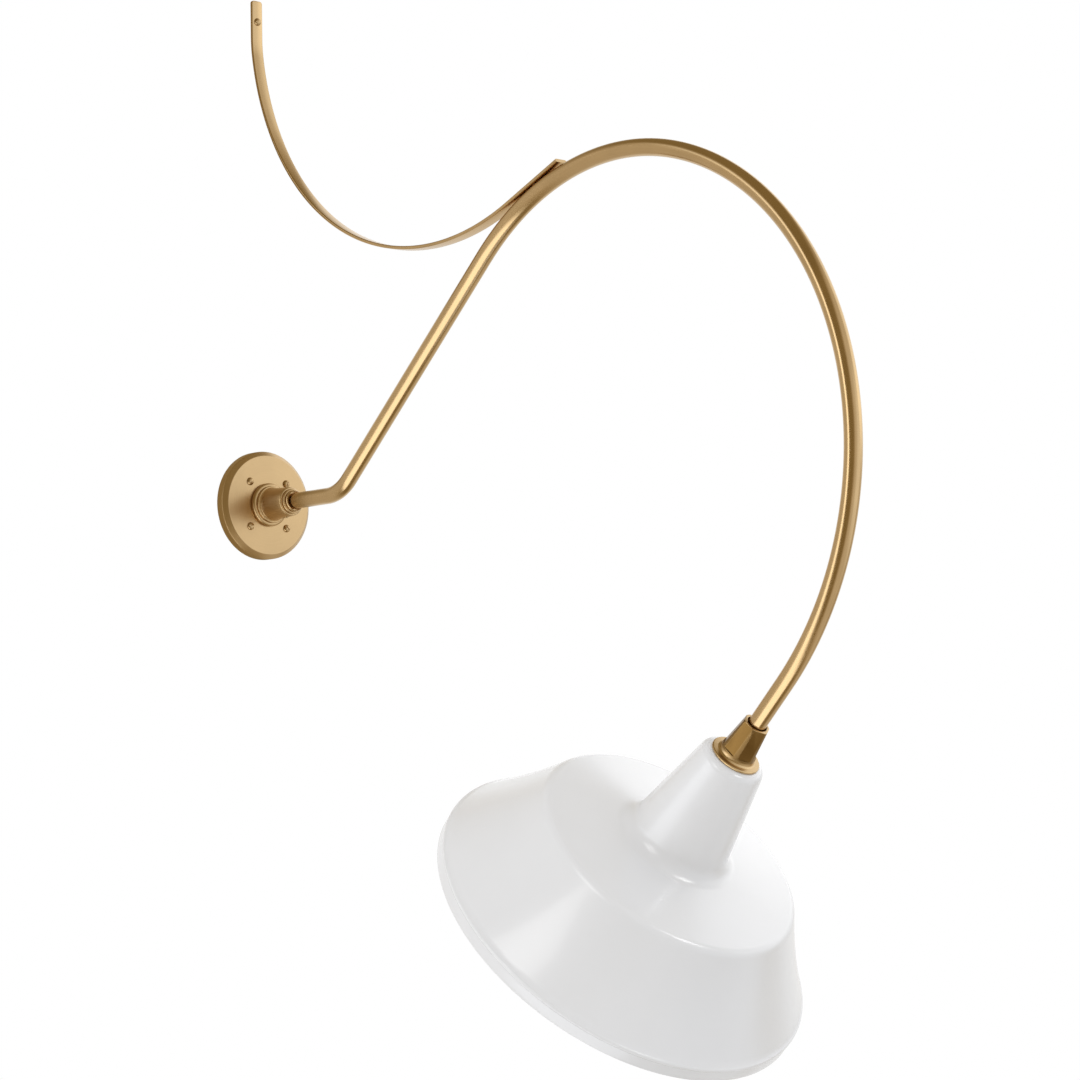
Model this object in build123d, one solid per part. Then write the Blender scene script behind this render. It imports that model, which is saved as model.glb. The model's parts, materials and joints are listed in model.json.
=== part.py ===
from build123d import *
import math
import os

# Gooseneck wall sconce, in millimetres.
# The wall is the plane Y = 0 and the fixture stands out along -Y; +Z is up.
# The origin is the centre of the wall plate's back, on the wall.

# ---------------------------------------------------------------- fits
SLIP = 0.1                  # radial clearance of a plain or threaded fit
TOUCH = 0.05                # clearance of faces that are drawn tight

# ---------------------------------------------------------------- arm tube
TUBE_R = 9.525              # 3/4 in brass tube
TUBE_WALL = 1.5
WALL_RUN_LENGTH = 130.0            # wall to the first bend, along the centre line
FIRST_BEND_R = 60.0
RISE_ANGLE = 42.5           # degrees above level
RISE_LENGTH = 332.0
CROWN_R1 = 314.0            # the crown opens a little after its first third
CROWN_TURN1 = 60.0
CROWN_R2 = 340.0
CROWN_TURN2 = 118.0
TAIL_LENGTH = 55.0             # straight tube showing above the shade holder

# ---------------------------------------------------------------- wall plate
PLATE_R = 65.0
PLATE_BAND = 10.4           # depth of the plain outer band
PLATE_BEVEL = 5.5           # radial width of the bevel up to the face
PLATE_BEVEL_RISE = 5.1
PLATE_EDGE = 0.5            # rounding at both ends of the bevel
PLATE_WALL = 3.0
SCREW_CIRCLE_R = 38.1       # four plate screws on a 3 in circle

# ---------------------------------------------------------------- round head screws
SCREW_R = 2.4
SCREW_HEAD_R = 4.75
SCREW_HEAD_H = 3.4
SCREW_LENGTH = 38.0         # under the head
SCREW_TIP = 4.0
NECK_CUT = 0.2              # the neck under a head is thinner than the thread
NECK_PAST = 0.5             # and runs this far past the piece that is clamped
SLOT_W = 1.2
SLOT_DEPTH = 1.3

# ---------------------------------------------------------------- hub on the plate
HUB_BASE_R = 26.0
HUB_BEAD = 7.0              # length of the base bead
HUB_RING_R = 22.4
HUB_RING = 2.6
HUB_ROOT_R = 19.2           # tapered barrel, at its root
HUB_FRONT_R = 17.2          # and at its front
HUB_BARREL = 36.0
HUB_RIM = 1.8               # rounded front rim
HUB_COLLAR_R = 15.0         # bead in front of the rim
HUB_COLLAR = 3.6
HUB_LIP_R = 12.9            # lip round the mouth, in front of the bead
HUB_LIP = 4.4
HUB_GROOVE = 0.7
HUB_MOUTH_GAP = 2.0         # open ring round the tube at the mouth
HUB_MOUTH_DEPTH = 5.0
HUB_SPIGOT_R = 13.0
HUB_SPIGOT = 7.5            # spigot past the plate's inner face
HUB_STOP = 3.0              # shoulder that stops the tube
HUB_STOP_R = 8.0
SET_SCREW_R = 2.5
SET_SCREW_PLACE = 34.5      # from the plate's face
SET_SCREW_PROUD = 0.9
LOCK_WASHER_R = 19.0
LOCK_WASHER_T = 1.0
LOCKNUT_FLATS = 34.0
LOCKNUT_T = 5.0

# ---------------------------------------------------------------- brace
BRACE_W = 16.0
BRACE_T = 4.0
BRACE_EDGE = 1.1
BRACE_CORNER = 3.0
BRACE_STRAIGHT_LENGTH = 43.6    # straight part down from the screw on the tube
BRACE_TURN = 81.4           # degrees off level where the tighter bend at the wall begins
BRACE_WALL_R = 160.0        # the tighter bend at the wall
BRACE_SEAT_ANGLE = 22.5     # slope of the crown where the brace is screwed down
BRACE_TIP = 46.0            # brace past its screw on the tube
BRACE_END_LENGTH = 45.40738 # straight end above the bend at the wall
BRACE_END_MARGIN = 26.0     # top end to the wall screw
INSERT_R = 3.4              # threaded insert in the tube's wall
INSERT_FLANGE_R = 4.3
INSERT_FLANGE_T = 1.6
INSERT_DEPTH = 6.3
BRACE_SCREW_R = 2.1
BRACE_SCREW_HEAD_R = 4.4
BRACE_SCREW_HEAD_H = 3.2
BRACE_SCREW_LENGTH = 10.0
BRACE_SCREW_TIP = 0.8

# ---------------------------------------------------------------- shade holder
HOLDER_H = 45.0             # mouth above the top of the shade
HOLDER_MOUTH_R = 14.8
HOLDER_FOOT_R = 19.8
FLANGE_R = 27.0
FLANGE_T = 3.0
FLANGE_EDGE = 0.8
FOOT_FILLET = 1.5
FOOT_H = 6.5                # round foot under the flats
FLAT_COUNT = 6
FLAT_CUT = 1.5              # depth of the flats at the ridges' circle
FLAT_TURN = 39.0            # degrees
HOLDER_LIP = 0.8
MOUTH_GAP = 1.6
MOUTH_DEPTH = 3.5
TUBE_INSERT = 32.0          # tube inside the holder
WIREWAY_R = 6.5
HOLDER_SPIGOT_R = 14.0
HOLDER_SPIGOT = 15.0
NIPPLE_GRIP = 11.0          # nipple's engagement in the spigot

# ---------------------------------------------------------------- shade
SHADE_T = 1.5               # spun steel with its enamel
NECK_R = 34.2               # outside radius at the neck's top, before rounding
NECK_H = 120.0
NECK_FLARE = 21.6           # growth in radius down the neck
NECK_EDGE = 9.0
NECK_FOOT = 20.0            # fillet from the neck to the shoulder
SHOULDER_R = 146.0
SHOULDER_DROP = 12.8
SHOULDER_EDGE = 12.5
RIM_R = 211.5
SKIRT_DROP = 98.0
SKIRT_BOW = 4.9             # the skirt's polygon point inside its chord
SKIRT_LAND = 1.0            # straight between the shoulder's edge and the skirt's curve
BEAD_OUT = 2.0
BEAD_H = 5.0
LIP_H = 12.0
LIP_LEAN = 0.8

# ---------------------------------------------------------------- shade fixing
WASHER_R = 22.0
WASHER_T = 1.5
RING_NUT_FLATS = 36.0
RING_NUT_T = 4.5

# ---------------------------------------------------------------- lampholder, E26
NIPPLE_R = 5.14             # 1/8 IP running thread
NIPPLE_BORE_R = 3.6
NIPPLE_H = 29.0
NIPPLE_NUT_FLATS = 16.0
NIPPLE_NUT_T = 3.0
CAP_R = 20.6
CAP_T = 1.0
CAP_H = 9.0
CAP_ABOVE_TIP = 5.0         # cap's top above the nipple's lower end
SOCKET_R = 21.6
SOCKET_H = 50.0
SOCKET_NECK = 5.0
SOCKET_EDGE = 2.0
SHELL_R = 13.35             # inside radius, for a 26 mm lamp base
SHELL_T = 0.5
SHELL_THREAD_H = 18.0       # straight, threaded length
SHELL_CONE_H = 6.0          # drawn in above it, round the spring contact
SHELL_SET_BACK = 1.5
SHELL_CONE_R = 10.5
SHELL_EYE_R = 8.6
TERMINAL_SLOT_W = 8.0
TERMINAL_SLOT_R = 14.6
TERMINAL_SLOT_H = 15.0
WIRE_RECESS_W = 12.0        # recess in the porcelain's top, under the nipple
TERMINAL_R = 1.7
TERMINAL_HEAD_R = 3.4
TERMINAL_HEAD_T = 1.8
TERMINAL_LENGTH = 5.0
SOCKET_SCREW_R = 1.5
SOCKET_SCREW_HEAD_R = 2.8
SOCKET_SCREW_HEAD_T = 1.8
SOCKET_SCREW_LENGTH = 14.0
SOCKET_SCREW_OUT = 13.5
CONTACT_W = 6.0
CONTACT_T = 0.5
CONTACT_LENGTH = 11.0
CONTACT_SPRING = 4.0
RIVET_R = 1.4
RIVET_HEAD_R = 2.2
RIVET_HEAD_T = 0.7
RIVET_LENGTH = 4.0

# ---------------------------------------------------------------- wiring
LEAD_R = 1.2
LEAD_OFFSET = 1.5           # each lead beside the centre line
LEAD_BEND_R = 4.0
LEAD_END = 1.5              # lead ends, off the wall
GROUND_X = -32.0
GROUND_BOSS_R = 4.5
GROUND_BOSS_H = 3.0
GROUND_SCREW_R = 1.7
GROUND_HEAD_R = 3.8
GROUND_HEAD_T = 2.0
GROUND_WIRE_R = 0.8
GROUND_WIRE_LENGTH = 20.0

# ---------------------------------------------------------------- worked-out places
PLATE_DEPTH = PLATE_BAND + PLATE_BEVEL_RISE
FACE_R = PLATE_R - PLATE_BEVEL
INNER_FACE = PLATE_DEPTH - PLATE_WALL
SPIGOT_END = INNER_FACE - HUB_SPIGOT
TUBE_START = SPIGOT_END + HUB_STOP
TUBE_BORE_R = TUBE_R - TUBE_WALL
HUB_RIM_FRONT = PLATE_DEPTH + HUB_BEAD + HUB_RING + HUB_BARREL
HUB_BEAD_FRONT = HUB_RIM_FRONT + HUB_COLLAR
HUB_FRONT = HUB_BEAD_FRONT + HUB_LIP
TUBE_STOP = HOLDER_H - TUBE_INSERT
RING_NUT_TOP = -(SHADE_T + WASHER_T + TOUCH)
NIPPLE_TOP = -HOLDER_SPIGOT + NIPPLE_GRIP
NIPPLE_TIP = NIPPLE_TOP - NIPPLE_H
LEAD_TURN = NIPPLE_TIP - LEAD_BEND_R
CAP_TOP = NIPPLE_TIP + CAP_ABOVE_TIP
SOCKET_TOP = CAP_TOP - CAP_H + SOCKET_NECK - TOUCH
SOCKET_MOUTH = SOCKET_TOP - SOCKET_H
SHELL_MOUTH = SOCKET_MOUTH + SHELL_SET_BACK
SHELL_TOP = SHELL_MOUTH + SHELL_THREAD_H + SHELL_CONE_H
CAVITY_TOP = SHELL_TOP + TOUCH
TERMINAL_SLOT_END = CAP_TOP - CAP_H - TOUCH - TERMINAL_SLOT_H
TERMINAL_Z = TERMINAL_SLOT_END + TERMINAL_HEAD_R + 1

# Frames. WALL: local Z is the depth out from the wall. SIDE: local X is that depth,
# local Y is up, in the arm's own plane.
WALL = Plane(origin=(0, 0, 0), x_dir=(1, 0, 0), z_dir=(0, -1, 0))
SIDE = Plane(origin=(0, 0, 0), x_dir=(0, -1, 0), z_dir=(-1, 0, 0))


def arm_runs(start, tail):
    """Centre line of the arm in its own plane: run, bend, rise, two crown arcs, tail."""
    run = Line((start, 0), (WALL_RUN_LENGTH, 0))
    bend = JernArc(run @ 1, run % 1, FIRST_BEND_R, RISE_ANGLE)
    rise = Line(bend @ 1, bend @ 1 + (bend % 1) * RISE_LENGTH)
    crown1 = JernArc(rise @ 1, rise % 1, CROWN_R1, -CROWN_TURN1)
    crown2 = JernArc(crown1 @ 1, crown1 % 1, CROWN_R2, -CROWN_TURN2)
    drop = Line(crown2 @ 1, crown2 @ 1 + (crown2 % 1) * tail)
    return [run, bend, rise, crown1, crown2, drop]


# HEAD: origin at the centre of the shade's top, local Z back up the tube.
HEAD_DROP = TAIL_LENGTH + HOLDER_H
_drop = arm_runs(0, HEAD_DROP)[-1]
_neck = SIDE.from_local_coords(_drop @ 1)
_down = SIDE.from_local_coords(_drop @ 1 + _drop % 1) - _neck
HEAD = Plane(origin=_neck, x_dir=(1, 0, 0), z_dir=-_down)

# SEAT: origin on the tube's outside where the brace is screwed down, local Z away
# from the tube, local X across the arm.
_seat_turn = RISE_ANGLE - BRACE_SEAT_ANGLE
_crown = arm_runs(0, 1)[3]
_seat_at = _crown @ (_seat_turn / CROWN_TURN1)
_slope = math.radians(BRACE_SEAT_ANGLE)
_seat_up = Vector(-math.sin(_slope), math.cos(_slope))
_seat_point = SIDE.from_local_coords(_seat_at + _seat_up * TUBE_R)
_seat_normal = _seat_point - SIDE.from_local_coords(_seat_at)
SEAT = Plane(origin=_seat_point, x_dir=(1, 0, 0), z_dir=_seat_normal)


# ---------------------------------------------------------------- shared shapes
def turned(profile):
    """Revolve a profile drawn as (radius, height) about the local Z axis."""
    return revolve(Plane.XZ * profile, Axis.Z)


def disc(radius, low, high):
    return Pos(0, 0, low) * Cylinder(radius, high - low, align=(Align.CENTER, Align.CENTER, Align.MIN))


def ring(outer, inner, low, high):
    return disc(outer, low, high) - disc(inner, low - 1, high + 1)


def hex_nut(flats, bore, low, high):
    """Hexagon nut with its corners turned down on both faces."""
    body = extrude(Pos(0, 0, low) * RegularPolygon(flats / 2, 6, major_radius=False), high - low)
    corner = flats / math.sqrt(3)
    chamfer_h = (corner - flats / 2) * 0.5
    middle = (low + high) / 2
    half = (high - low) / 2
    cone = turned(make_face(Polyline(
        (0, low), (flats / 2, low), (corner, low + chamfer_h), (corner, high - chamfer_h),
        (flats / 2, high), (0, high), close=True)))
    blank = body & cone
    return blank - disc(bore, middle - half - 1, middle + half + 1)


def round_head_screw(radius, head_r, head_h, length, tip, grip, slot_turn=0.0):
    """Slotted round-head screw; the underside of its head is at Z = 0, its shank points down."""
    dome = ThreePointArc((head_r, 0), (head_r * 0.72, head_h * 0.70), (0, head_h))
    neck_end = -(grip + NECK_PAST)
    outline = Polyline((0, head_h), (0, -length), (radius * 0.35, -length),
                       (radius, -length + tip), (radius, neck_end), (radius - NECK_CUT, neck_end),
                       (radius - NECK_CUT, 0), (head_r, 0))
    screw = turned(make_face(dome + outline))
    slot = Pos(0, 0, head_h - SLOT_DEPTH / 2 + 0.5) * Box(3 * head_r, SLOT_W, SLOT_DEPTH + 1)
    return screw - Rot(0, 0, slot_turn) * slot


def pan_screw(radius, head_r, head_t, length):
    """Small flat-head terminal screw with a slot, head up from Z = 0."""
    head = chamfer(disc(head_r, 0, head_t).edges().group_by(Axis.Z)[-1], head_t * 0.3)
    slot = Pos(0, 0, head_t) * Box(3 * head_r, radius * 0.5, head_t * 0.8)
    return head - slot + disc(radius, -length, 0)


def screw_places():
    """The four plate screws, on their circle."""
    return PolarLocations(SCREW_CIRCLE_R, 4, start_angle=45)


# ---------------------------------------------------------------- wall side
def wall_plate():
    """Turned brass canopy: plain band, bevel and flat face, hollow behind."""
    outline = make_face(Polyline((0, 0), (PLATE_R, 0), (PLATE_R, PLATE_BAND), (FACE_R, PLATE_DEPTH),
                                 (0, PLATE_DEPTH), close=True))
    bevel_ends = outline.vertices().filter_by(lambda v: v.X > 1 and v.Y > 1)
    plate = turned(fillet(bevel_ends, PLATE_EDGE))
    inner_r = PLATE_R - PLATE_WALL
    hollow = make_face(Polyline(
        (0, -1), (inner_r, -1), (inner_r, PLATE_BAND - PLATE_WALL),
        (FACE_R - PLATE_WALL, INNER_FACE), (0, INNER_FACE), close=True))
    plate -= turned(hollow)
    plate += Pos(GROUND_X, 0, 0) * disc(GROUND_BOSS_R, INNER_FACE - GROUND_BOSS_H, INNER_FACE + 1)
    plate -= disc(HUB_SPIGOT_R + SLIP, 0, PLATE_DEPTH + 1)
    for place in screw_places():
        plate -= place * disc(SCREW_R + SLIP, 0, PLATE_DEPTH + 1)
    pocket = disc(GROUND_SCREW_R + TOUCH, 0, INNER_FACE + PLATE_WALL * 0.4)
    return WALL * (plate - Pos(GROUND_X, 0, 0) * pocket)


def plate_screws():
    """Four slotted round-head screws; their ends stand out behind the plate."""
    screws = []
    for number, place in enumerate(screw_places()):
        screw = round_head_screw(SCREW_R, SCREW_HEAD_R, SCREW_HEAD_H, SCREW_LENGTH,
                                 SCREW_TIP, PLATE_WALL, slot_turn=25 + 50 * number)
        screws.append(WALL * (place * (Pos(0, 0, PLATE_DEPTH + TOUCH) * screw)))
    return Compound(children=screws)


def hub_radius(depth):
    """Outside radius of the hub's tapered barrel at a depth from the wall."""
    along = (depth - (PLATE_DEPTH + HUB_BEAD + HUB_RING)) / HUB_BARREL
    return HUB_ROOT_R + (HUB_FRONT_R - HUB_ROOT_R) * along


def arm_hub():
    """Turned hub: beaded base, barrel, stepped front and a bored spigot through the plate."""
    base = PLATE_DEPTH + TOUCH
    bead_end = base + HUB_BEAD
    ring_end = PLATE_DEPTH + HUB_BEAD + HUB_RING
    bead = ThreePointArc((HUB_BASE_R - 1.6, base), (HUB_BASE_R, base + HUB_BEAD * 0.45),
                         (HUB_BASE_R - 3.0, bead_end - HUB_GROOVE))
    groove = Polyline((HUB_BASE_R - 3.0, bead_end - HUB_GROOVE), (HUB_RING_R - 0.6, bead_end - HUB_GROOVE),
                      (HUB_RING_R - 0.6, bead_end))
    small_bead = ThreePointArc((HUB_RING_R - 0.6, bead_end), (HUB_RING_R, bead_end + HUB_RING * 0.45),
                               (HUB_ROOT_R + 0.8, ring_end))
    barrel = Polyline((HUB_ROOT_R + 0.8, ring_end), (HUB_ROOT_R, ring_end + 0.8),
                      (HUB_FRONT_R, HUB_RIM_FRONT - HUB_RIM))
    rim = ThreePointArc((HUB_FRONT_R, HUB_RIM_FRONT - HUB_RIM),
                        (HUB_FRONT_R - HUB_RIM * 0.3, HUB_RIM_FRONT - HUB_RIM * 0.3),
                        (HUB_FRONT_R - HUB_RIM, HUB_RIM_FRONT))
    collar_root = HUB_COLLAR_R - HUB_GROOVE
    step = Polyline((HUB_FRONT_R - HUB_RIM, HUB_RIM_FRONT), (collar_root, HUB_RIM_FRONT),
                    (collar_root, HUB_RIM_FRONT + HUB_GROOVE))
    lip_root = HUB_LIP_R - HUB_GROOVE * 0.7
    collar = ThreePointArc((collar_root, HUB_RIM_FRONT + HUB_GROOVE),
                           (HUB_COLLAR_R, HUB_RIM_FRONT + HUB_COLLAR * 0.5),
                           (lip_root, HUB_BEAD_FRONT))
    neck = Line((lip_root, HUB_BEAD_FRONT), (lip_root, HUB_BEAD_FRONT + HUB_GROOVE))
    mouth_r = TUBE_R + HUB_MOUTH_GAP
    lip = ThreePointArc((lip_root, HUB_BEAD_FRONT + HUB_GROOVE),
                        (HUB_LIP_R, HUB_BEAD_FRONT + HUB_LIP * 0.5),
                        (mouth_r + 0.4, HUB_FRONT))
    inside = Polyline((mouth_r + 0.4, HUB_FRONT), (mouth_r, HUB_FRONT),
                      (mouth_r, HUB_FRONT - HUB_MOUTH_DEPTH),
                      (TUBE_R + SLIP, HUB_FRONT - HUB_MOUTH_DEPTH), (TUBE_R + SLIP, TUBE_START),
                      (HUB_STOP_R, TUBE_START), (HUB_STOP_R, SPIGOT_END),
                      (HUB_SPIGOT_R, SPIGOT_END), (HUB_SPIGOT_R, base), (HUB_BASE_R - 1.6, base))
    hub = turned(make_face(bead + groove + small_bead + barrel + rim + step + collar + neck + lip + inside))
    place = PLATE_DEPTH + SET_SCREW_PLACE
    drilling = Pos(0, 0, place) * Rot(90, 0, 0) * disc(SET_SCREW_R + SLIP, 0, HUB_BASE_R)
    return WALL * (hub - drilling)


def hub_set_screw():
    """Slotted grub screw under the hub, tight on the tube."""
    place = PLATE_DEPTH + SET_SCREW_PLACE
    top = TUBE_R + TOUCH
    end = hub_radius(place) + SET_SCREW_PROUD
    screw = chamfer(disc(SET_SCREW_R, top, end).edges().group_by(Axis.Z)[-1], 0.4)
    screw -= Pos(0, 0, end) * Box(4 * SET_SCREW_R, 0.8, 2.0)
    return WALL * (Pos(0, 0, place) * Rot(90, 0, 0) * screw)


def hub_lock_washer():
    """Toothed washer under the locknut."""
    washer = ring(LOCK_WASHER_R, HUB_SPIGOT_R + SLIP, INNER_FACE - LOCK_WASHER_T, INNER_FACE - TOUCH)
    notch = disc(1.2, 0, PLATE_DEPTH)
    for place in PolarLocations(LOCK_WASHER_R, 10):
        washer -= place * notch
    return WALL * washer


def hub_locknut():
    """Flat nut that draws the hub onto the plate."""
    top = INNER_FACE - LOCK_WASHER_T - TOUCH
    return WALL * hex_nut(LOCKNUT_FLATS, HUB_SPIGOT_R + TOUCH, top - LOCKNUT_T, top)


def ground_screw():
    """Bonding screw on the plate's inner boss, clamping the ground wire."""
    seat = INNER_FACE - GROUND_BOSS_H - 2 * GROUND_WIRE_R - TOUCH
    screw = pan_screw(GROUND_SCREW_R, GROUND_HEAD_R, GROUND_HEAD_T, INNER_FACE - seat)
    return WALL * (Pos(GROUND_X, 0, seat) * Rot(180, 0, 0) * screw)


def ground_lead():
    """Bare bonding wire, from under the ground screw to the open back."""
    beside = GROUND_X + GROUND_SCREW_R + GROUND_WIRE_R + TOUCH
    level = INNER_FACE - GROUND_BOSS_H - GROUND_WIRE_R
    path = FilletPolyline((beside, -GROUND_HEAD_R, level), (beside, GROUND_WIRE_LENGTH, level),
                          (beside, GROUND_WIRE_LENGTH, LEAD_END), radius=3 * GROUND_WIRE_R)
    section = Plane(origin=path @ 0, z_dir=path % 0) * Circle(GROUND_WIRE_R)
    return WALL * sweep(section, path=path)


# ---------------------------------------------------------------- arm and brace
def arm_tube():
    """Bent brass tube, from the stop in the hub to the stop in the shade holder."""
    path = SIDE * Wire(edges=[e for run in arm_runs(TUBE_START, TAIL_LENGTH + TUBE_INSERT) for e in run.edges()])
    section = Circle(TUBE_R) - Circle(TUBE_BORE_R)
    tube = sweep(Plane(origin=path @ 0, z_dir=path % 0) * section, path=path)
    return tube - SEAT * disc(INSERT_R + TOUCH, -TUBE_R, TUBE_R)


def brace_path():
    """Centre line of the brace: down the wall, one long bend, then straight onto the tube."""
    lift = TUBE_R + TOUCH + BRACE_T / 2
    seat = _seat_at + _seat_up * lift
    ahead = Vector(math.cos(_slope), math.sin(_slope))
    tip = seat + ahead * BRACE_TIP
    # the long bend is as wide as it takes for the brace to end flat on the wall
    turned_in = math.sin(math.radians(BRACE_TURN))
    bend_start = seat - ahead * BRACE_STRAIGHT_LENGTH
    reach = bend_start.X - BRACE_T / 2 - TOUCH - BRACE_WALL_R * (1 - turned_in)
    bend_r = reach / (math.sin(_slope) + turned_in)
    straight = Line(tip, bend_start)
    bend = JernArc(bend_start, -ahead, bend_r, -(BRACE_SEAT_ANGLE + BRACE_TURN))
    foot = JernArc(bend @ 1, bend % 1, BRACE_WALL_R, BRACE_TURN - 90)
    top = Line(foot @ 1, foot @ 1 + Vector(0, BRACE_END_LENGTH))
    return [straight, bend, foot, top]


def brace_top():
    """Height of the brace's top end above the plate's centre."""
    return (brace_path()[-1] @ 1).Y


def brace_strap():
    """Flat bar brace with eased edges, drilled at both ends."""
    path = SIDE * Wire(edges=[e for run in brace_path() for e in run.edges()])
    section = RectangleRounded(BRACE_T, BRACE_W, BRACE_EDGE)
    start = Plane(origin=path @ 0, x_dir=SEAT.z_dir, z_dir=path % 0)
    strap = sweep(start * section, path=path)
    corner = BRACE_W / 2 - BRACE_CORNER
    nib = Box(BRACE_CORNER + 1, 4 * BRACE_T, BRACE_CORNER + 1,
              align=(Align.MIN, Align.CENTER, Align.MIN))
    nib -= Rot(90, 0, 0) * Cylinder(BRACE_CORNER, 8 * BRACE_T)
    for turn in (0, 180):
        strap -= Pos(0, 0, brace_top() - BRACE_CORNER) * Rot(0, 0, turn) * Pos(corner, 0, 0) * nib
    wall_hole = Pos(0, 0, brace_top() - BRACE_END_MARGIN) * Rot(90, 0, 0) * disc(SCREW_R + SLIP, -BRACE_T, 3 * BRACE_T)
    tube_hole = SEAT * disc(BRACE_SCREW_R + SLIP, -1, 2 * BRACE_T)
    return strap - wall_hole - tube_hole


def brace_wall_screw():
    """Round-head screw through the brace's top into the wall."""
    face = BRACE_T + 2 * TOUCH
    screw = round_head_screw(SCREW_R, SCREW_HEAD_R, SCREW_HEAD_H, SCREW_LENGTH, SCREW_TIP, face, slot_turn=8)
    return WALL * (Pos(0, brace_top() - BRACE_END_MARGIN, face) * screw)


def brace_tube_screw():
    """Round-head screw through the brace into the insert in the tube."""
    screw = round_head_screw(BRACE_SCREW_R, BRACE_SCREW_HEAD_R, BRACE_SCREW_HEAD_H,
                             BRACE_SCREW_LENGTH, BRACE_SCREW_TIP, BRACE_T, slot_turn=35)
    return SEAT * (Pos(0, 0, BRACE_T + 2 * TOUCH) * screw)


def brace_insert():
    """Threaded insert set in the tube's wall, its flange drawn up inside."""
    inner = -(TUBE_R - math.sqrt(TUBE_BORE_R ** 2 - INSERT_FLANGE_R ** 2)) - TOUCH
    body = disc(INSERT_R, -INSERT_DEPTH, -0.4)
    body += disc(INSERT_FLANGE_R, inner - INSERT_FLANGE_T, inner)
    return SEAT * (body - disc(BRACE_SCREW_R + TOUCH, -INSERT_DEPTH - 1, 1))


# ---------------------------------------------------------------- shade holder
def holder_radius(height):
    """Outside radius of the holder's cone at a height above the shade."""
    along = (height - FLANGE_T) / (HOLDER_H - FLANGE_T)
    return HOLDER_FOOT_R + (HOLDER_MOUTH_R - HOLDER_FOOT_R) * along


def shade_holder():
    """Cast holder: flange, round foot, six flats up a cone, bored for the tube and the nipple."""
    base = TOUCH
    body = turned(make_face(Polyline(
        (0, -HOLDER_SPIGOT), (HOLDER_SPIGOT_R, -HOLDER_SPIGOT), (HOLDER_SPIGOT_R, base),
        (FLANGE_R - FLANGE_EDGE, base), (FLANGE_R, base + FLANGE_EDGE),
        (FLANGE_R, FLANGE_T - FLANGE_EDGE), (FLANGE_R - FLANGE_EDGE, FLANGE_T),
        (HOLDER_FOOT_R + FOOT_FILLET, FLANGE_T), (holder_radius(FLANGE_T + FOOT_FILLET), FLANGE_T + FOOT_FILLET),
        (HOLDER_MOUTH_R, HOLDER_H - HOLDER_LIP), (HOLDER_MOUTH_R - HOLDER_LIP, HOLDER_H),
        (0, HOLDER_H), close=True)))
    ledge = FLANGE_T + FOOT_H
    low_in = holder_radius(ledge) - FLAT_CUT
    top_in = holder_radius(HOLDER_H) - FLAT_CUT
    flats_h = HOLDER_H - ledge
    lean = math.degrees(math.atan2(low_in - top_in, flats_h))
    core = extrude(Pos(0, 0, ledge) * RegularPolygon(low_in, FLAT_COUNT, major_radius=False),
                   flats_h + 1, taper=lean)
    cutter = ring(FLANGE_R, WIREWAY_R, ledge, HOLDER_H + 1) - core
    body -= Rot(0, 0, FLAT_TURN) * cutter
    body -= disc(TUBE_R + MOUTH_GAP, HOLDER_H - MOUTH_DEPTH, HOLDER_H + 1)
    body -= disc(TUBE_R + SLIP, TUBE_STOP, HOLDER_H)
    body -= disc(WIREWAY_R, NIPPLE_TOP, HOLDER_H)
    body -= disc(NIPPLE_R + TOUCH, -HOLDER_SPIGOT - 1, NIPPLE_TOP + 1)
    return HEAD * body


# ---------------------------------------------------------------- shade
def offset_corners(points, distance):
    """Corner points of a polyline moved sideways by a distance, to its right."""
    rights = []
    for first, second in zip(points, points[1:]):
        along = (Vector(second) - Vector(first)).normalized()
        rights.append(Vector(along.Y, -along.X) * distance)
    moved = [Vector(points[0]) + rights[0]]
    for corner, before, after in zip(points[1:-1], rights, rights[1:]):
        both = before + after
        moved.append(Vector(corner) + both * (2 * distance ** 2 / both.length ** 2))
    moved.append(Vector(points[-1]) + rights[-1])
    return moved


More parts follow.
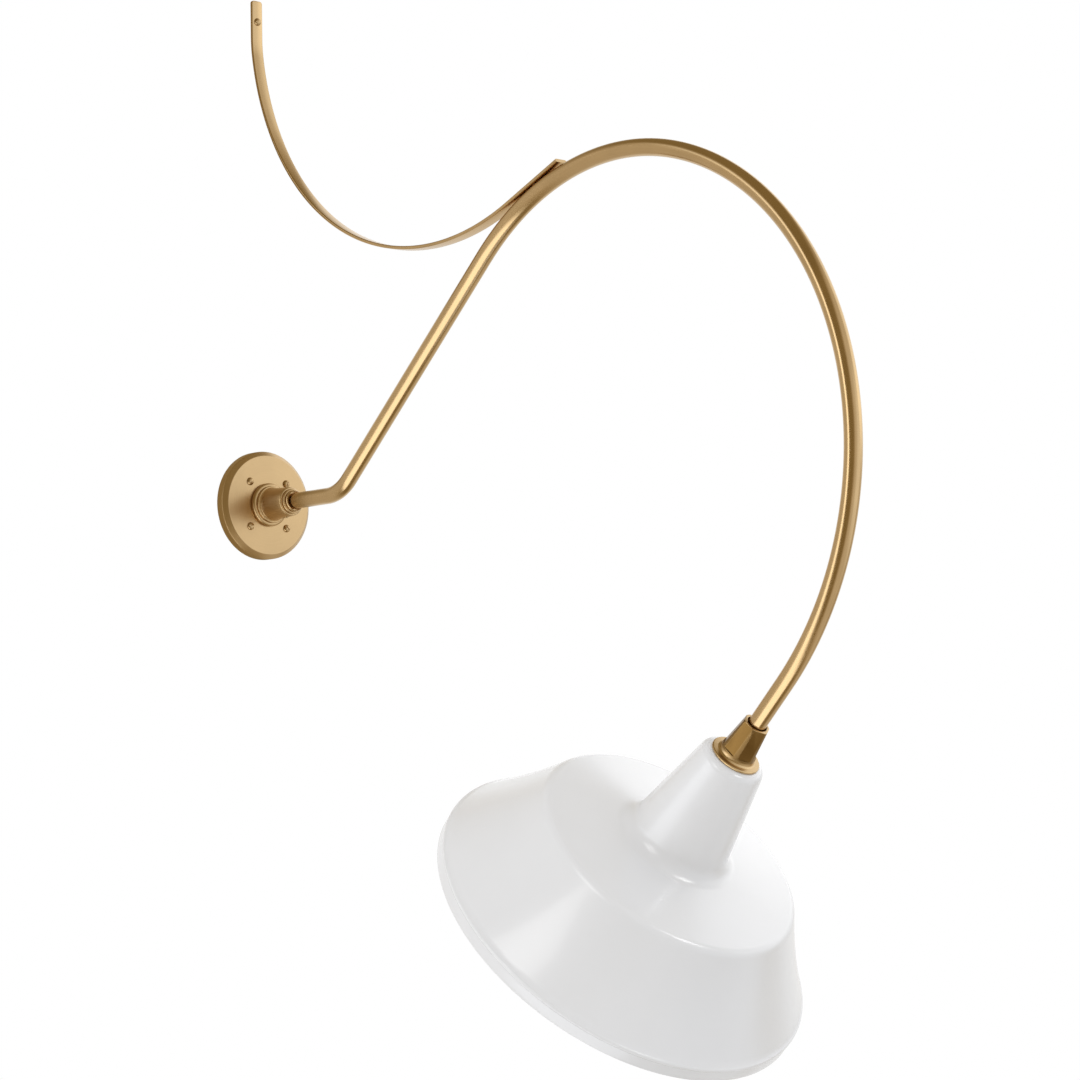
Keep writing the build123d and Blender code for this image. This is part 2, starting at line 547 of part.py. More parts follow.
def shade():
    """Spun enamelled shade: round-edged neck, shoulder, flaring skirt, beaded rim and lip."""
    hole_r = HOLDER_SPIGOT_R + SLIP
    shoulder_z = -(NECK_H + SHOULDER_DROP)
    rim_z = shoulder_z - SKIRT_DROP
    chord = Vector(RIM_R - SHOULDER_R, rim_z - shoulder_z)
    inward = Vector(chord.Y, -chord.X).normalized() * SKIRT_BOW
    middle = Vector(SHOULDER_R, shoulder_z) + chord * 0.5 + inward
    outer = [(hole_r, 0), (NECK_R, 0), (NECK_R + NECK_FLARE, -NECK_H), (SHOULDER_R, shoulder_z),
             (middle.X, middle.Y), (RIM_R, rim_z)]
    shoulder = Vector(SHOULDER_R - NECK_R - NECK_FLARE, -SHOULDER_DROP)
    upper = middle - Vector(SHOULDER_R, shoulder_z)
    lower = Vector(RIM_R, rim_z) - middle
    edge_reach = SHOULDER_EDGE * math.tan(math.radians(shoulder.get_angle(upper) / 2))
    skirt_half_turn = math.radians(upper.get_angle(lower) / 2)
    skirt_r = (upper.length - edge_reach - SKIRT_LAND) / math.tan(skirt_half_turn)
    bends = [NECK_EDGE, NECK_FOOT, SHOULDER_EDGE, skirt_r]
    inner = offset_corners(outer, SHADE_T)
    inner_bends = [NECK_EDGE - SHADE_T, NECK_FOOT + SHADE_T, SHOULDER_EDGE - SHADE_T, skirt_r + SHADE_T]
    outside = FilletPolyline(*outer, radius=bends)
    inside = FilletPolyline(*inner, radius=inner_bends)
    lip_z = rim_z - BEAD_H
    bottom = lip_z - LIP_H
    lip_r = RIM_R + LIP_LEAN
    bead = ThreePointArc((RIM_R, rim_z), (RIM_R + BEAD_OUT, rim_z - BEAD_H * 0.45), (lip_r, lip_z))
    lip = Line((lip_r, lip_z), (lip_r + LIP_LEAN, bottom + SHADE_T / 2))
    roll = ThreePointArc((lip_r + LIP_LEAN, bottom + SHADE_T / 2), (lip_r + LIP_LEAN - SHADE_T / 2, bottom),
                         (lip_r + LIP_LEAN - SHADE_T, bottom + SHADE_T / 2))
    back = Polyline((lip_r + LIP_LEAN - SHADE_T, bottom + SHADE_T / 2), (lip_r - SHADE_T, lip_z), inside @ 1)
    close = Line(inside @ 0, outside @ 0)
    return HEAD * turned(make_face(outside + bead + lip + roll + back + inside + close))


def shade_washer():
    """Fibre washer between the shade and its ring nut."""
    top = -SHADE_T - TOUCH
    return HEAD * ring(WASHER_R, HOLDER_SPIGOT_R + SLIP, top - WASHER_T + TOUCH, top)


def shade_ring_nut():
    """Nut on the holder's spigot that clamps the shade."""
    return HEAD * hex_nut(RING_NUT_FLATS, HOLDER_SPIGOT_R + TOUCH, RING_NUT_TOP - RING_NUT_T, RING_NUT_TOP)


# ---------------------------------------------------------------- lampholder
def socket_nipple():
    """Threaded nipple that carries the lampholder and its leads."""
    return HEAD * ring(NIPPLE_R, NIPPLE_BORE_R, NIPPLE_TIP, NIPPLE_TOP - TOUCH)


def nipple_nuts():
    """Two nuts on the nipple, above and below the cap."""
    above = hex_nut(NIPPLE_NUT_FLATS, NIPPLE_R + TOUCH, CAP_TOP + TOUCH, CAP_TOP + TOUCH + NIPPLE_NUT_T)
    low = CAP_TOP - CAP_T - TOUCH
    below = hex_nut(NIPPLE_NUT_FLATS, NIPPLE_R + TOUCH, low - NIPPLE_NUT_T, low)
    return Compound(children=[HEAD * above, HEAD * below])


def socket_cap():
    """Drawn metal cap over the socket, hung on the nipple."""
    cap = disc(CAP_R + CAP_T, CAP_TOP - CAP_H, CAP_TOP)
    cap = fillet(cap.edges().group_by(Axis.Z)[-1], CAP_T * 1.5)
    cap -= disc(CAP_R, CAP_TOP - CAP_H - 1, CAP_TOP - CAP_T)
    cap -= disc(NIPPLE_R + SLIP, CAP_TOP - CAP_H, CAP_TOP + 1)
    for side in (-1, 1):
        cap -= Pos(0, side * SOCKET_SCREW_OUT, 0) * disc(SOCKET_SCREW_R + SLIP, CAP_TOP - CAP_H, CAP_TOP + 1)
    return HEAD * cap


def socket_body():
    """Glazed porcelain socket: neck in the cap, terminal slots and the lamp cavity."""
    neck_r = CAP_R - 3 * SLIP
    shoulder = CAP_TOP - CAP_H - TOUCH
    neck_top = min(SOCKET_TOP, CAP_TOP - CAP_T - NIPPLE_NUT_T - 3 * TOUCH)
    body = turned(make_face(Polyline(
        (0, neck_top), (neck_r, neck_top), (neck_r, shoulder), (SOCKET_R, shoulder),
        (SOCKET_R, SOCKET_MOUTH), (0, SOCKET_MOUTH), close=True)))
    body = fillet(body.edges().filter_by(GeomType.CIRCLE).group_by(Axis.Z)[0], SOCKET_EDGE)
    body -= disc(SHELL_R + SHELL_T + SLIP, SOCKET_MOUTH - 1, CAVITY_TOP)
    for side in (-1, 1):
        slot = Pos(side * (TERMINAL_SLOT_R + SOCKET_R / 2), 0, (TERMINAL_SLOT_END + neck_top + 5) / 2)
        body -= slot * Box(SOCKET_R, TERMINAL_SLOT_W, neck_top + 5 - TERMINAL_SLOT_END)
        drilling = Pos(side * TERMINAL_SLOT_R, 0, TERMINAL_Z) * Rot(0, 90, 0)
        body -= drilling * disc(TERMINAL_R + TOUCH, -TERMINAL_LENGTH - 0.5, TERMINAL_LENGTH + 0.5)
        tapped = Pos(0, side * SOCKET_SCREW_OUT, 0)
        body -= tapped * disc(SOCKET_SCREW_R + TOUCH, CAP_TOP - SOCKET_SCREW_LENGTH - 1, neck_top + 1)
    body -= disc(RIVET_R + TOUCH, CAVITY_TOP - 1, CAVITY_TOP + RIVET_LENGTH + 0.5)
    recess_low = LEAD_TURN - LEAD_BEND_R
    recess = Box(2 * TERMINAL_SLOT_R + 1, WIRE_RECESS_W, neck_top + 1 - recess_low,
                 align=(Align.CENTER, Align.CENTER, Align.MIN))
    return HEAD * (body - Pos(0, 0, recess_low) * recess)


def socket_screws():
    """Two screws that hold the porcelain up in its cap."""
    screws = []
    for side in (-1, 1):
        screw = pan_screw(SOCKET_SCREW_R, SOCKET_SCREW_HEAD_R, SOCKET_SCREW_HEAD_T, SOCKET_SCREW_LENGTH)
        screws.append(HEAD * (Pos(0, side * SOCKET_SCREW_OUT, CAP_TOP + TOUCH) * screw))
    return Compound(children=screws)


def terminal_screws():
    """Line and neutral terminal screws, in the socket's side slots."""
    screws = []
    for turn in (90, -90):
        screw = pan_screw(TERMINAL_R, TERMINAL_HEAD_R, TERMINAL_HEAD_T, TERMINAL_LENGTH + 2 * LEAD_R)
        seat = Pos(0, 0, TERMINAL_SLOT_R + 2 * (LEAD_R + TOUCH))
        screws.append(HEAD * (Pos(0, 0, TERMINAL_Z) * Rot(0, turn, 0) * seat * screw))
    return Compound(children=screws)


def screw_shell():
    """Drawn brass shell for the lamp's base, open at the mouth and drawn in at its top."""
    thread_end = SHELL_MOUTH + SHELL_THREAD_H
    shell = make_face(Polyline(
        (SHELL_R, SHELL_MOUTH), (SHELL_R + SHELL_T, SHELL_MOUTH), (SHELL_R + SHELL_T, thread_end),
        (SHELL_CONE_R + SHELL_T, SHELL_TOP), (SHELL_EYE_R, SHELL_TOP), (SHELL_EYE_R, SHELL_TOP - SHELL_T),
        (SHELL_CONE_R, SHELL_TOP - SHELL_T), (SHELL_R, thread_end), close=True))
    return HEAD * turned(shell)


def centre_contact():
    """Spring tongue that meets the lamp's centre contact."""
    top = CAVITY_TOP - TOUCH
    half = CONTACT_LENGTH / 2
    low = top - CONTACT_T
    line = Polyline((-half, top), (half, top), (half, low), (CONTACT_T - half, low),
                    (CONTACT_T - half, low - CONTACT_SPRING * 0.5), (half * 0.6, low - CONTACT_SPRING),
                    (half * 0.6, low - CONTACT_SPRING - CONTACT_T), (-half, low - CONTACT_SPRING * 0.5 - CONTACT_T),
                    close=True)
    tongue = extrude(Plane.XZ * make_face(line), CONTACT_W / 2, both=True)
    return HEAD * (tongue - disc(RIVET_R + TOUCH, low - 0.2, top + 1))


def contact_rivet():
    """Rivet that holds the spring tongue to the porcelain."""
    low = CAVITY_TOP - TOUCH - CONTACT_T - TOUCH
    rivet = disc(RIVET_R, low, CAVITY_TOP + RIVET_LENGTH)
    return HEAD * (rivet + disc(RIVET_HEAD_R, low - RIVET_HEAD_T, low))


# ---------------------------------------------------------------- leads inside the arm
def lead(side):
    """Insulated lead from the plate, through the arm and the nipple, to its terminal."""
    runs = arm_runs(LEAD_END, HEAD_DROP)
    in_arm = Wire(edges=[e for run in runs for e in run.edges()])
    across = side * LEAD_OFFSET
    in_arm = Pos(across, 0, 0) * (SIDE * in_arm)
    out_x = side * (TERMINAL_SLOT_R + TOUCH + LEAD_R)
    end_z = TERMINAL_Z + TERMINAL_R + TOUCH
    in_head = FilletPolyline((across, 0, 0), (across, 0, LEAD_TURN), (out_x, 0, LEAD_TURN),
                             (out_x, 0, end_z), radius=LEAD_BEND_R)
    in_head = HEAD * in_head
    path = Wire(edges=list(in_arm.edges()) + list(in_head.edges()))
    return sweep(Plane(origin=path @ 0, z_dir=path % 0) * Circle(LEAD_R), path=path)


PIECES = {
    "wall_plate": wall_plate,
    "plate_screws": plate_screws,
    "ground_screw": ground_screw,
    "ground_lead": ground_lead,
    "arm_hub": arm_hub,
    "hub_set_screw": hub_set_screw,
    "hub_lock_washer": hub_lock_washer,
    "hub_locknut": hub_locknut,
    "arm_tube": arm_tube,
    "brace_strap": brace_strap,
    "brace_wall_screw": brace_wall_screw,
    "brace_tube_screw": brace_tube_screw,
    "brace_insert": brace_insert,
    "shade_holder": shade_holder,
    "shade": shade,
    "shade_washer": shade_washer,
    "shade_ring_nut": shade_ring_nut,
    "socket_nipple": socket_nipple,
    "nipple_nuts": nipple_nuts,
    "socket_cap": socket_cap,
    "socket_body": socket_body,
    "socket_screws": socket_screws,
    "terminal_screws": terminal_screws,
    "screw_shell": screw_shell,
    "centre_contact": centre_contact,
    "contact_rivet": contact_rivet,
    "lead_line": lambda: lead(1),
    "lead_neutral": lambda: lead(-1),
}

os.makedirs("parts", exist_ok=True)
for name, make in PIECES.items():
    export_step(make(), "parts/" + name + ".step")
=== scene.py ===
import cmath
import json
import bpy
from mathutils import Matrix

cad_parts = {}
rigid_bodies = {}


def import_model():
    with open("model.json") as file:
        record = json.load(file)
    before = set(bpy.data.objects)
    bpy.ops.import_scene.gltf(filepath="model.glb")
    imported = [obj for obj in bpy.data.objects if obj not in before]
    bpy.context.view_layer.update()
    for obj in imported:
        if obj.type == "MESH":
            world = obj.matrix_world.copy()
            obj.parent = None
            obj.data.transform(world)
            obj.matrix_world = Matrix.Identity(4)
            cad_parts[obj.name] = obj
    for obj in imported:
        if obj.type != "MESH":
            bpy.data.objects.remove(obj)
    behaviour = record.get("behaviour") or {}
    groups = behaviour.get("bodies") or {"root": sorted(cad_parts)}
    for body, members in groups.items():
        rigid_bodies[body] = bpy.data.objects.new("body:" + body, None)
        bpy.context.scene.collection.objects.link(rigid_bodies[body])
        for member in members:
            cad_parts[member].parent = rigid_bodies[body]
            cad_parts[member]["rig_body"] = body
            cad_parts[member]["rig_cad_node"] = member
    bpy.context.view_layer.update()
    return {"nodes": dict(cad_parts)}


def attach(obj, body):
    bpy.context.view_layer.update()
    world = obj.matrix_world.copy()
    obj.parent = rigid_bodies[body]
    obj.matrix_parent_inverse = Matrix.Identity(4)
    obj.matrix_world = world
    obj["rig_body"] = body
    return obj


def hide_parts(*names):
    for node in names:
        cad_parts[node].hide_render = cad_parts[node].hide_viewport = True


bl_info = {
    "name": "Braced Gooseneck Wall Sconce",
    "version": (1, 0, 0),
    "blender": (4, 5, 0),
    "location": "3D View > Sidebar > Sconce",
    "description": "Turned plate and hub, bent arm, flat brace and enamelled shade round a fixed frame",
    "category": "Add Mesh",
}

from math import ceil, copysign, cos, degrees, inf, pi, radians, sin, tan, tau

import bmesh
import bpy
from bpy.props import FloatProperty, FloatVectorProperty, IntProperty, PointerProperty
from mathutils import Matrix, Vector

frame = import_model()
CAD_NODES = frame["nodes"]
BODY = "root"
MM = 0.001
TOUCH = 0.05 * MM  # clearance between pieces that meet
MERGE = 0.001 * MM  # points nearer than this are one

# The wall is the plane Y = 0, the light stands out along -Y and Z is up.
# WALL: local Z is the depth out from the wall, local Y is up.
WALL = Matrix(((1, 0, 0, 0), (0, 0, -1, 0), (0, 1, 0, 0), (0, 0, 0, 1)))


# ---- sizes and colours
def length(name, description, default, low=0.0):
    return FloatProperty(name=name, description=description, default=default,
                         min=low, max=2.0, unit="LENGTH", precision=4)


def turn(name, description, angle):
    return FloatProperty(name=name, description=description, default=radians(angle),
                         min=0.0, max=pi, unit="ROTATION")


def level(name, description, default, **limits):
    return FloatProperty(name=name, description=description, default=default, min=0.0, **limits)


def colour(name, description, rgb):
    return FloatVectorProperty(name=name, description=description, subtype="COLOR",
                               size=3, min=0.0, max=1.0, default=rgb)


class SconceArmSizes(bpy.types.PropertyGroup):
    """The bent tube and the flat brace"""
    tube_radius: length("Tube Radius", "Outside radius of the brass tube", 0.009525)
    tube_wall: length("Tube Wall", "Wall of the brass tube", 0.0015)
    wall_run: length("Wall Run", "Level tube from the wall to the first bend", 0.130)
    first_bend: length("First Bend", "Centre-line radius of the bend near the wall", 0.060)
    rise_angle: turn("Rise Angle", "Slope of the straight rise", 42.5)
    rise: length("Rise", "Straight tube between the first bend and the crown", 0.332)
    crown_radius: length("Crown Radius", "Centre-line radius of the crown's first part", 0.314)
    crown_turn: turn("Crown Turn", "Turn of the crown's first part", 60.0)
    drop_radius: length("Drop Radius", "Centre-line radius of the crown's second part", 0.340)
    drop_turn: turn("Drop Turn", "Turn of the crown's second part", 118.0)
    tail: length("Tail", "Straight tube above the shade holder", 0.055)
    brace_width: length("Brace Width", "Width of the flat brace", 0.016)
    brace_thickness: length("Brace Thickness", "Thickness of the flat brace", 0.004)
    brace_top: length("Brace Top", "Height of the brace's top end", 0.621)


class SconceShadeSizes(bpy.types.PropertyGroup):
    """The enamelled shade and its holder"""
    sheet: length("Sheet", "Spun steel with its enamel", 0.0015)
    neck_radius: length("Neck Radius", "Outside radius at the top of the neck", 0.0342)
    neck_height: length("Neck Height", "Height of the neck", 0.120)
    shoulder_radius: length("Shoulder Radius", "Radius where the shoulder meets the skirt", 0.146)
    rim_radius: length("Rim Radius", "Radius at the foot of the skirt", 0.2115)
    skirt_drop: length("Skirt Drop", "Height of the skirt", 0.098)
    holder_height: length("Holder Height", "Holder's mouth above the shade", 0.045)


class SconceWallSizes(bpy.types.PropertyGroup):
    """The wall plate, its hub and the screws"""
    plate_radius: length("Plate Radius", "Outside radius of the wall plate", 0.065)
    plate_band: length("Plate Band", "Depth of the plain outer band", 0.0104)
    plate_bevel: length("Plate Bevel", "Radial width of the bevel up to the face", 0.0055)
    plate_rise: length("Bevel Rise", "Depth of the bevel", 0.0051)
    screw_circle: length("Screw Circle", "Radius of the plate screws' circle", 0.0381)
    screw_radius: length("Screw Radius", "Thread radius of the plate screws", 0.0024)
    thread_pitch: length("Thread Pitch", "Pitch of the plate screws", 0.00125)
    screw_count: IntProperty(name="Plate Screws", description="Number of plate screws",
                             default=4, min=2, max=8)


class SconceFinishes(bpy.types.PropertyGroup):
    """Colours of the finishes"""
    brass: colour("Satin Brass", "Drawn and turned brass of the arm, plate and hub", (0.61, 0.434, 0.231))
    cast_brass: colour("Holder Brass", "Machined brass of the shade holder", (0.66, 0.48, 0.26))
    # The holder's second colour is painted shade, laid on its body and darkest on its flats.
    holder_shade_tone: colour("Holder Painted Shade", "How the holder's flats have darkened", (0.35, 0.28, 0.16))
    enamel: colour("Enamel", "White glass enamel of the shade", (0.838, 0.84, 0.850))
    steel: colour("Zinc Steel", "Plated steel of the nuts and inner screws", (0.56, 0.57, 0.58))
    porcelain: colour("Porcelain", "Glazed porcelain of the lampholder", (0.80, 0.78, 0.74))
    fibre: colour("Fibre", "Pressed fibre of the shade washer", (0.26, 0.10, 0.06))
    copper: colour("Copper", "Bare bonding wire", (0.72, 0.34, 0.18))
    black_lead: colour("Black Lead", "Insulation of the line lead", (0.02, 0.02, 0.022))
    white_lead: colour("White Lead", "Insulation of the neutral lead", (0.70, 0.69, 0.66))


class SconceStudio(bpy.types.PropertyGroup):
    """Floor, wall, lamps and camera"""
    floor_level: length("Floor Level", "Height of the floor", -1.9, low=-5.0)
    key_level: level("Left Soft Box", "Brightness of the left soft box", 1.6)
    fill_level: level("Right Soft Box", "Brightness of the right soft box", 0.85)
    gloss_level: level("Gloss Boxes", "Brightness of the small boxes that the shade mirrors", 2.2)
    sky: level("Room Light", "Strength of the room's own soft light", 0.80, max=1.0)


# ---- selecting and shaping
def deselect_all():
    if bpy.context.mode != "OBJECT":
        bpy.ops.object.mode_set(mode="OBJECT")
    for obj in bpy.context.view_layer.objects:
        obj.select_set(False)
    bpy.context.view_layer.objects.active = None


def select_only(obj):
    deselect_all()
    obj.select_set(True)
    bpy.context.view_layer.objects.active = obj


def select_whole(mode):
    """Select the whole mesh in edit mode, as vertices, edges or faces."""
    bpy.ops.mesh.select_mode(type=mode)
    bpy.ops.mesh.select_all(action="SELECT")


def edit(obj, mode="VERT"):
    """Open a piece in edit mode with all of it selected."""
    select_only(obj)
    bpy.ops.object.mode_set(mode="EDIT")
    select_whole(mode)


def pick(obj, mode, test):
    """Select only the vertices or the edges that pass the test, in edit mode."""
    bpy.ops.mesh.select_all(action="DESELECT")
    bpy.ops.mesh.select_mode(type=mode)
    bm = bmesh.from_edit_mesh(obj.data)
    for part in {"VERT": bm.verts, "EDGE": bm.edges}[mode]:
        if test(part):
            part.select_set(True)
    bm.select_flush_mode()
    bmesh.update_edit_mesh(obj.data)


def named(name):
    """The object that was just added, named with its mesh."""
    made = bpy.context.active_object
    made.name = made.data.name = name
    return made


def settle(obj):
    """Put a piece's place, turn and scale into its mesh."""
    select_only(obj)
    bpy.ops.object.transform_apply(location=True, rotation=True, scale=True)


def put(obj, place):
    """Move a piece that was made at the origin to its place."""
    obj.matrix_world = place
    settle(obj)


def copy_of(obj, name):
    """A copy with its own mesh."""
    select_only(obj)
    bpy.ops.object.duplicate()
    return named(name)


def join(obj, *others):
    """Other pieces joined into the first, which keeps its name."""
    select_only(obj)
    for other in others:
        other.select_set(True)
    bpy.ops.object.join()
    return obj


def modify(obj, kind, **settings):
    """Give a piece a modifier with these settings, and apply it."""
    select_only(obj)
    mod = obj.modifiers.new(kind.lower(), kind)
    for key, value in settings.items():
        setattr(mod, key, value)
    bpy.ops.object.modifier_apply(modifier=mod.name)


def ease_edges(obj, width, angle=30.0):
    """Small rounding of the edges sharper than an angle."""
    modify(obj, "BEVEL", limit_method="ANGLE", angle_limit=radians(angle), width=width, segments=2,
           use_clamp_overlap=True)


def cut_away(obj, tool):
    """Cut a closed piece out of another, and drop it."""
    modify(obj, "BOOLEAN", operation="DIFFERENCE", solver="EXACT", object=tool)
    bpy.data.objects.remove(tool)


def turn_inside_out(obj):
    edit(obj)
    bpy.ops.mesh.flip_normals()
    bpy.ops.object.mode_set(mode="OBJECT")


def close_mesh():
    """Join what meets and turn every face outward, then leave edit mode."""
    select_whole("VERT")
    bpy.ops.mesh.remove_doubles(threshold=MERGE)
    bpy.ops.mesh.delete_loose(use_verts=True, use_edges=True, use_faces=False)
    bpy.ops.mesh.select_all(action="SELECT")
    bpy.ops.mesh.normals_make_consistent(inside=False)
    bpy.ops.object.mode_set(mode="OBJECT")


def extrude_by(offset):
    bpy.ops.mesh.extrude_region_move(TRANSFORM_OT_translate={"value": offset})


def drawn_line(name, spots):
    """A line drawn from spot to spot by extrusion, left in edit mode."""
    deselect_all()
    bpy.ops.mesh.primitive_plane_add(size=MM, location=spots[0])
    obj = named(name)
    settle(obj)
    edit(obj)
    bpy.ops.mesh.merge(type="CENTER")
    for before, spot in zip(spots, spots[1:]):
        extrude_by(spot - before)
    return obj


def on_lathe(name, profile, place, steps):
    """Turned piece: (radius, height) points in millimetres, drawn and spun about the place's Z.

    A profile that doesn't start on the axis is closed into a ring.
    """
    origin = place.translation
    side, axis = (place.to_3x3() @ Vector(way) for way in ((1, 0, 0), (0, 0, 1)))
    obj = drawn_line(name, [origin + side * (r * MM) + axis * (h * MM) for r, h in profile])
    if profile[0][0]:
        pick(obj, "VERT", lambda v: len(v.link_edges) == 1)
        bpy.ops.mesh.edge_face_add()
    bpy.ops.mesh.select_all(action="SELECT")
    bpy.ops.mesh.spin(steps=steps, angle=tau, center=origin, axis=axis)
    close_mesh()
    return obj


def drill(obj, place, radius, depth):
    """Cut a round hole up the place's Z, in millimetres."""
    cut_away(obj, on_lathe("drill", [(0, 0), (radius, 0), (radius, depth), (0, depth)], place, steps=32))


def wind(obj, pitch, turns, steps):
    """Wind the drawn outline of one thread turn about Z, with its turns merged, left in edit mode."""
    modify(obj, "SCREW", steps=steps, render_steps=steps, screw_offset=pitch * MM, iterations=turns,
           use_merge_vertices=True, merge_threshold=MERGE)
    edit(obj)


def from_frame(cad_node, name, ease, angle=30.0):
    """A merged copy of a CAD node with its flat faces whole and its sharp edges eased."""
    obj = copy_of(CAD_NODES[cad_node], name)
    obj.parent = None
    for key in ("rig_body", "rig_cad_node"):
        if key in obj:
            del obj[key]
    edit(obj)
    bpy.ops.mesh.remove_doubles(threshold=2 * MERGE)
    flat = radians(0.6)
    bpy.ops.mesh.dissolve_limited(angle_limit=flat)
    bpy.ops.object.mode_set(mode="OBJECT")
    ease_edges(obj, ease * MM, angle)
    return obj


def dress(obj, finish):
    """The finish of a piece."""
    obj.data.materials.clear()
    obj.data.materials.append(finish)


def hand_over(obj, finish, stands_for, angle=35.0):
    """Shading, finish and body of a finished piece, with the CAD node that it stands for hidden."""
    settle(obj)
    bpy.ops.object.shade_smooth_by_angle(angle=radians(angle))
    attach(obj, BODY)
    dress(obj, finish)
    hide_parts(stands_for)
    deselect_all()


# ---- outlines, in millimetres
def corner_arc(points, radii, step):
    """A profile's inner corners rounded, in pieces of at most a step in degrees and a stride in length."""
    stride = 5.0
    out = [Vector(points[0])]
    for before, corner, after, radius in zip(points, points[1:], points[2:], radii):
        c = Vector(corner)
        u = (Vector(before) - c).normalized()
        v = (Vector(after) - c).normalized()
        half = u.angle(v) / 2
        sweep = pi - 2 * half
        centre = c + (u + v).normalized() * (radius / sin(half))
        first = c + u * (radius / tan(half)) - centre
        last = c + v * (radius / tan(half)) - centre
        count = max(3, ceil(degrees(sweep) / step), ceil(sweep * radius / stride))
        for i in range(count + 1):
            part = sweep * i / count
            out.append(centre + (first * sin(sweep - part) + last * sin(part)) / sin(sweep))
    out.append(Vector(points[-1]))
    return out


def arc_through(a, b, c, count):
    """Points from a to c on the circle through b, without the first one."""
    a, b, c = (complex(*point) for point in (a, b, c))
    ratio = (c - a) / (b - a)
    centre = a + (b - a) * (ratio - abs(ratio) ** 2) / (2j * ratio.imag)
    to_middle, sweep = (cmath.phase((point - centre) / (a - centre)) for point in (b, c))
    if sweep * to_middle < 0:
        sweep -= copysign(tau, sweep)
    spots = [centre + (a - centre) * cmath.rect(1, sweep * i / count) for i in range(1, count + 1)]
    return [(spot.real, spot.imag) for spot in spots]


def line_to(a, b, count):
    """Points from a to b in a straight line, without the first one."""
    return [tuple(p + (q - p) * i / count for p, q in zip(a, b)) for i in range(1, count + 1)]


def outline(start, *moves):
    """A profile's points: a move is the next point, or the middle, end and count of an arc."""
    points = [start]
    for move in moves:
        points += arc_through(points[-1], *move) if len(move) == 3 else [move]
    return points


def sideways(points, distance):
    """A profile's corner points moved to its right by a distance."""
    rights = []
    for first, second in zip(points, points[1:]):
        along = (second - first).normalized()
        rights.append(Vector((along.y, -along.x)) * distance)
    moved = [points[0] + rights[0]]
    for corner, before, after in zip(points[1:-1], rights, rights[1:]):
        both = before + after
        moved.append(corner + both * (2 * distance ** 2 / both.length_squared))
    return moved + [points[-1] + rights[-1]]


# ---- the arm's line
# Spots of the arm's plane have the depth as x and the height as y. A run is (length, 0) where it is
# straight and (radius, turn) where it bends, with a turn to the left above zero.
SEAT_SLOPE = radians(22.5)  # the arm's slope where the brace is screwed down


def direction(heading):
    return Vector((cos(heading), sin(heading)))


def in_side_plane(spot):
    return Vector((0.0, -spot.x, spot.y))


def plane_at(spot, up):
    """Place at a spot of the arm's plane with local Z along up, a direction of that plane."""
    x, z = Vector((1, 0, 0)), in_side_plane(up.normalized())
    place = Matrix((x, z.cross(x), z)).transposed().to_4x4()
    place.translation = in_side_plane(spot)
    return place


def bend_centre(spot, heading, radius, bend):
    return spot + Vector((-sin(heading), cos(heading))) * copysign(radius, bend)


def follow(spot, heading, runs):
    """The spot and heading at the end of the runs."""
    for size, bend in runs:
        if bend:
            centre = bend_centre(spot, heading, size, bend)
            spot = centre + Matrix.Rotation(bend, 2) @ (spot - centre)
        else:
            spot = spot + direction(heading) * size
        heading += bend
    return spot, heading


def arm_runs(start, end):
    """Straights and bends of the arm, from a depth in the hub to a length past the tail."""
    arm = bpy.context.scene.sconce_arm
    return [(arm.wall_run - start, 0), (arm.first_bend, arm.rise_angle), (arm.rise, 0),
            (arm.crown_radius, -arm.crown_turn), (arm.drop_radius, -arm.drop_turn), (arm.tail + end, 0)]


def head_place():
    """Centre of the shade's top, local Z back up the tube."""
    runs = arm_runs(0.0, bpy.context.scene.sconce_shade.holder_height)
    spot, heading = follow(Vector((0.0, 0.0)), 0.0, runs)
    return plane_at(spot, -direction(heading))


def seat_spot():
    """The arm's centre line where the brace is screwed down, and the direction away from it."""
    arm = bpy.context.scene.sconce_arm
    runs = arm_runs(0.0, 0.0)[:3] + [(arm.crown_radius, SEAT_SLOPE - arm.rise_angle)]
    spot, _ = follow(Vector((0.0, 0.0)), 0.0, runs)
    return spot, direction(SEAT_SLOPE + pi / 2)


def seat_place():
    """The tube's outside at the brace screw, local Z away from the tube."""
    spot, up = seat_spot()
    return plane_at(spot + up * bpy.context.scene.sconce_arm.tube_radius, up)


def sweep_selected(spot, heading, runs, bend_step):
    """Draw the selected section along the runs by extrusion and spin, in edit mode."""
    for size, bend in runs:
        if bend:
            centre = bend_centre(spot, heading, size, bend)
            bpy.ops.mesh.spin(steps=max(3, ceil(abs(bend) / bend_step)), angle=bend,
                              center=in_side_plane(centre), axis=(1, 0, 0))
        else:
            extrude_by(in_side_plane(direction(heading) * size))
        spot, heading = follow(spot, heading, [(size, bend)])


def place_on_run(point, start, heading, size, bend):
    """How far a point lies past a run's ends, to the left of its line and along it."""
    if not bend:
        along, off = ((point - start).dot(direction(heading + side)) for side in (0.0, pi / 2))
        return max(0.0, -along, along - size), off, along
    side = copysign(1.0, bend)
    centre = bend_centre(start, heading, size, bend)
    arm = point - centre
    angle = (start - centre).angle_signed(arm, 0.0) * -side
    return size * max(0.0, -angle, angle - abs(bend)), (size - arm.length) * side, angle * size


def mark_along(obj, spot, heading, runs):
    """Attribute "drawn": across and through the section, then the distance along its line."""
    stations = []
    reach = 0.0
    for size, bend in runs:
        stations.append((reach, (spot, heading, size, bend)))
        reach += size * (abs(bend) or 1.0)
        spot, heading = follow(spot, heading, [(size, bend)])
    values = []
    for vertex in obj.data.vertices:
        point = Vector((-vertex.co.y, vertex.co.z))
        nearest = inf
        for before, run in stations:
            miss, off, along = place_on_run(point, *run)
            if miss < nearest - MERGE / 10:
                nearest = miss
                found = (vertex.co.x, off, before + along)
        values += found
    layer = obj.data.attributes.new("drawn", "FLOAT_VECTOR", "POINT")
    layer.data.foreach_set("vector", values)


